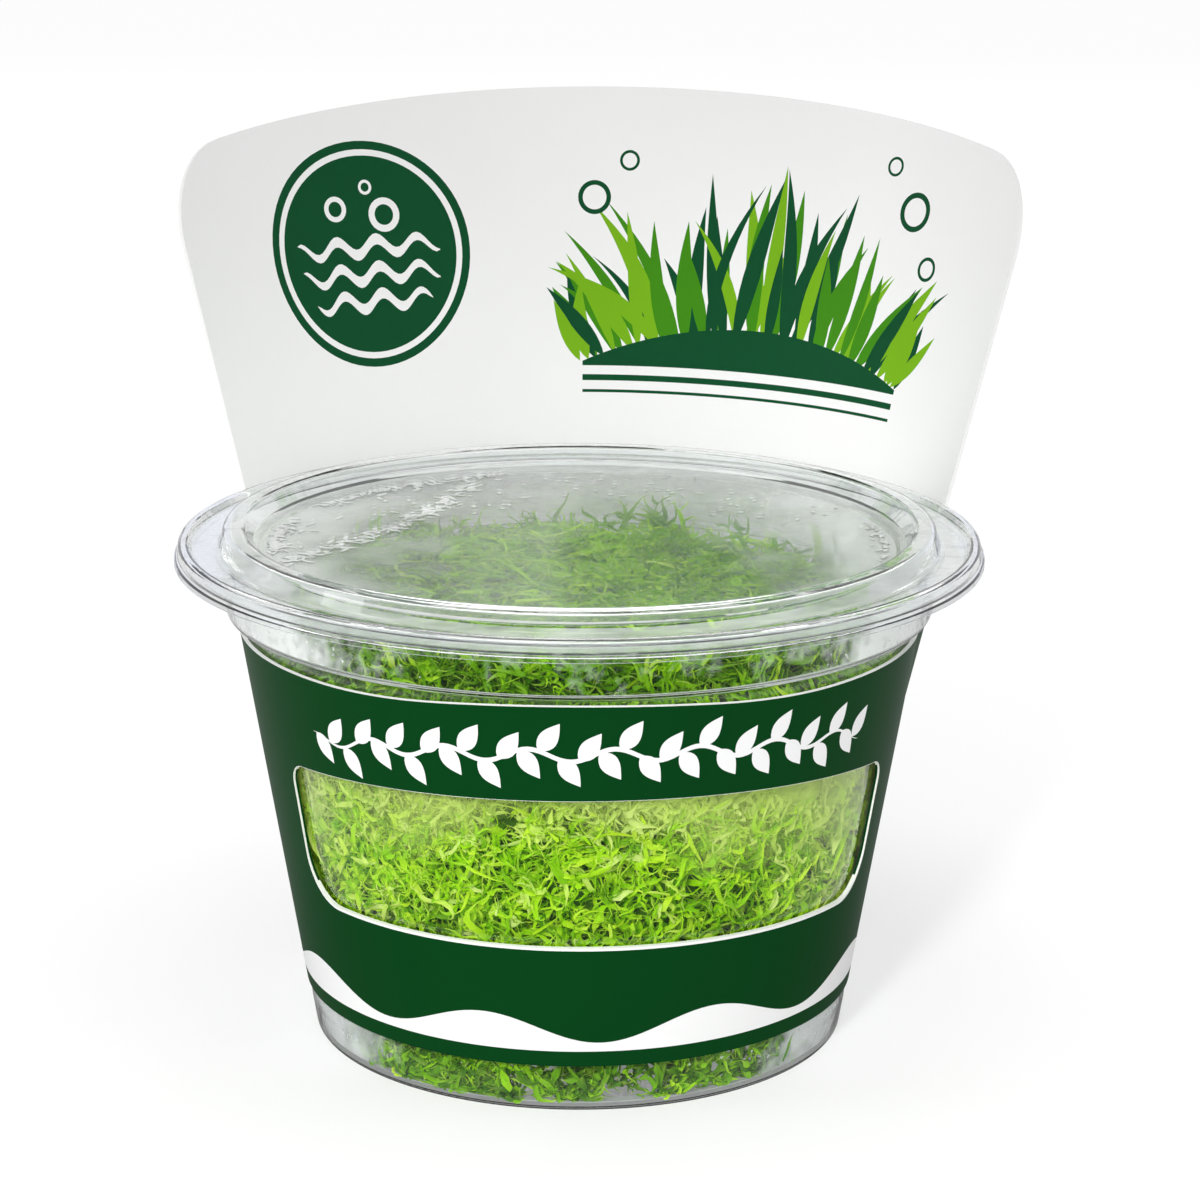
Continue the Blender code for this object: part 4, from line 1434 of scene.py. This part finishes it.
def makeCore(surface):
    build = bmesh.new()
    bmesh.ops.create_uvsphere(build, u_segments=96, v_segments=64, radius=1.0)
    bottom = plants["floor"] + 0.3
    top = plants["moundTop"] - 1.0
    power = 9.0
    for vertex in build.verts:
        d = vertex.co.normalized()
        across = math.hypot(d.x, d.y)
        scale = (across ** power + abs(d.z) ** power) ** (-1.0 / power)
        z = (bottom + top) / 2 + (top - bottom) / 2 * d.z * scale
        deeper = plants["coreDepth"] - plants["coreFootDepth"]
        depth = plants["coreFootDepth"] + deeper * ease((z - 5.0) / 5.0, 0.5)
        radius = (float(wallInside(np.array(z))) - depth) * across * scale
        turn = math.atan2(d.y, d.x)
        sideways = min(1.0, max(0.0, (abs(math.cos(turn)) - 0.75) / 0.2))
        foot = plants["coreFootRadius"] - plants["coreSideways"] * sideways
        radius = min(radius, foot + (z - bottom) * 1.2)
        hollow = bottom - float(floorUnder(np.array(radius + 0.4))) - 0.25
        z -= max(0.0, hollow) * max(0.0, 1.0 - (z - bottom) / 3.0)
        point = Vector((radius * math.cos(turn), radius * math.sin(turn), z))
        point += d * noise.noise(point / 4.0) * 1.2
        radius = math.hypot(point.x, point.y)
        lowest = min(bottom, float(floorUnder(np.array(radius + 0.4))) + 0.25)
        point.z = min(max(point.z, lowest), float(moundTop(np.array(radius))) - 1.6)
        vertex.co = onAxis(*point)
    mesh = bpy.data.meshes.new("leaf_mass")
    build.to_mesh(mesh)
    build.free()
    mesh.shade_smooth()
    piece = placeMesh("leaf_mass", mesh, surface)
    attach(piece, "root")
    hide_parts("plant_mat")


def polar(phi, radius, z):
    # phi in radians from the front towards the right
    return np.stack((radius * np.sin(phi), -radius * np.cos(phi), z), axis=1)


zones = {                # leaves by where they show: how many, their size, tint and which way they grow
    "window": {"seed": 1, "height": (18.5, 44), "depth": (0.5, 4.5), "count": 5000, "arms": 5,
               "length": (3.2, 8.0), "width": (0.45, 1.1), "tint": 0.75, "outward": 0.35,
               "rise": 0.15, "loose": 0.18, "flatten": 1.0},
    "collar": {"seed": 2, "height": (46.5, 56.0), "depth": (0.0, 4.0), "count": 3000, "arms": 4,
               "length": (4.0, 9.0), "width": (0.45, 1.1), "tint": 0.40,
               "outward": 0.5, "rise": 0.2, "loose": 0.35, "flatten": 0.9},
    "top": {"seed": 3, "reach": 33.0, "depth": (0.0, 2.4), "count": 3200, "arms": 3,
            "length": (5.0, 12.0), "width": (0.35, 0.85), "tint": 0.36,
            "outward": 0.0, "rise": 0.1, "loose": 0.3, "flatten": 0.45},
    "foot": {"seed": 4, "height": (1.2, 9.2), "depth": (0.0, 3.5), "count": 2500, "arms": 6,
             "length": (3.5, 7.0), "width": (0.6, 1.3), "tint": 0.28,
             "outward": 0.45, "rise": -0.05, "loose": 0.15, "flatten": 1.0},
}


def growZone(name, place, surface):
    # leaves grow in stars, a few arms from each node
    zone = zones[name]
    rng = np.random.default_rng(zone["seed"])
    arms = zone["arms"]
    stars = zone["count"] // arms
    count = stars * arms
    phi, radius, z, depth = (np.repeat(values, arms) for values in place(rng, stars))
    unit, flat = np.ones(count), np.zeros(count)
    lean = np.repeat(rng.uniform(0, math.tau, stars), arms)
    lean += math.tau / arms * np.tile(np.arange(arms), stars)
    lean += rng.normal(0, 0.35, count)
    ahead = polar(phi + math.pi / 2, unit, flat) * np.cos(lean)[:, None]
    if name == "top":
        ahead += polar(phi, unit, flat) * np.sin(lean)[:, None]
        ahead[:, 2] += zone["rise"]
    else:
        ahead[:, 2] += np.sin(lean) * 0.9 + zone["rise"]
    ahead += polar(phi, unit, flat) * (zone["outward"] * rng.normal(0.4, 0.6, count))[:, None]
    ahead += rng.normal(0, zone["loose"], (count, 3))
    length = rng.uniform(*zone["length"], count)
    low, high = zone["width"]
    width = low + (high - low) * rng.random(count) ** 1.4
    bend = rng.normal(0, 2.1, count)
    # leaves set deeper from the wall are painted darker: painted shade in the leaf mass
    tint = rng.normal(zone["tint"], 0.2, count) - depth * 0.06
    # leaves near the window's top and sides, shaded by the card, are painted paler: painted light
    if name == "window":
        tint += 0.8 * np.clip((z - 34.0) / 7.0, 0, 1) + 0.22 * np.clip((np.abs(phi) - 0.65) / 0.35, 0, 1)
    leafSheet(name + "_leaves", rng, polar(phi, radius, z), ahead, length, width, bend, tint,
              zone["flatten"], surface)


def windowPlace(rng, count):
    phi = np.radians(rng.uniform(*films["window_light_film"]["turns"], count))
    z = rng.uniform(*zones["window"]["height"], count)
    depth = rng.uniform(*zones["window"]["depth"], count)
    return phi, wallInside(z) - depth, z, depth


def collarPlace(rng, count):
    phi = rng.uniform(0, math.tau, count)
    z = rng.uniform(*zones["collar"]["height"], count)
    depth = rng.uniform(*zones["collar"]["depth"], count)
    return phi, wallInside(z) - 0.5 - depth, z, depth


def topPlace(rng, count):
    phi = rng.uniform(0, math.tau, count)
    radius = zones["top"]["reach"] * np.sqrt(rng.random(count))
    depth = rng.uniform(*zones["top"]["depth"], count)
    return phi, radius, moundTop(radius) - depth, depth


def footPlace(rng, count):
    # against the wall at the front and back, a little way in from it at the two sides
    phi = rng.uniform(0, math.tau, count)
    low, high = zones["foot"]["height"]
    z = low + (high - low) * rng.random(count) ** 1.3
    depth = zones["foot"]["depth"][1] * rng.random(count) ** 1.3
    inset = 5.0 * np.clip((np.abs(np.sin(phi)) - 0.75) / 0.2, 0.0, 1.0)
    return phi, wallInside(z) - inset - depth, z, depth


def makeLeaves(surface):
    growZone("window", windowPlace, surface)
    growZone("collar", collarPlace, surface)
    growZone("top", topPlace, surface)
    growZone("foot", footPlace, surface)


makeCamera()
makeStudio()
grain = buildSurfaceGrain()
print("cup and lid")
makeCup(clearPlastic("clear_cup_plastic", grain, plastic["waveDepth"], plastic["roughness"]))
makeLid(clearPlastic("clear_lid_plastic", grain, plastic["waveDepth"], plastic["roughness"]),
        clearPlastic("clear_lid_panel", grain, plastic["panelWave"], plastic["panelRoughness"],
                     plastic["panelAlpha"]))
makeWater()
print("card")
makeCard(grain)
print("plants")
makeCore(coreMaterial())
makeLeaves(leafMaterial())
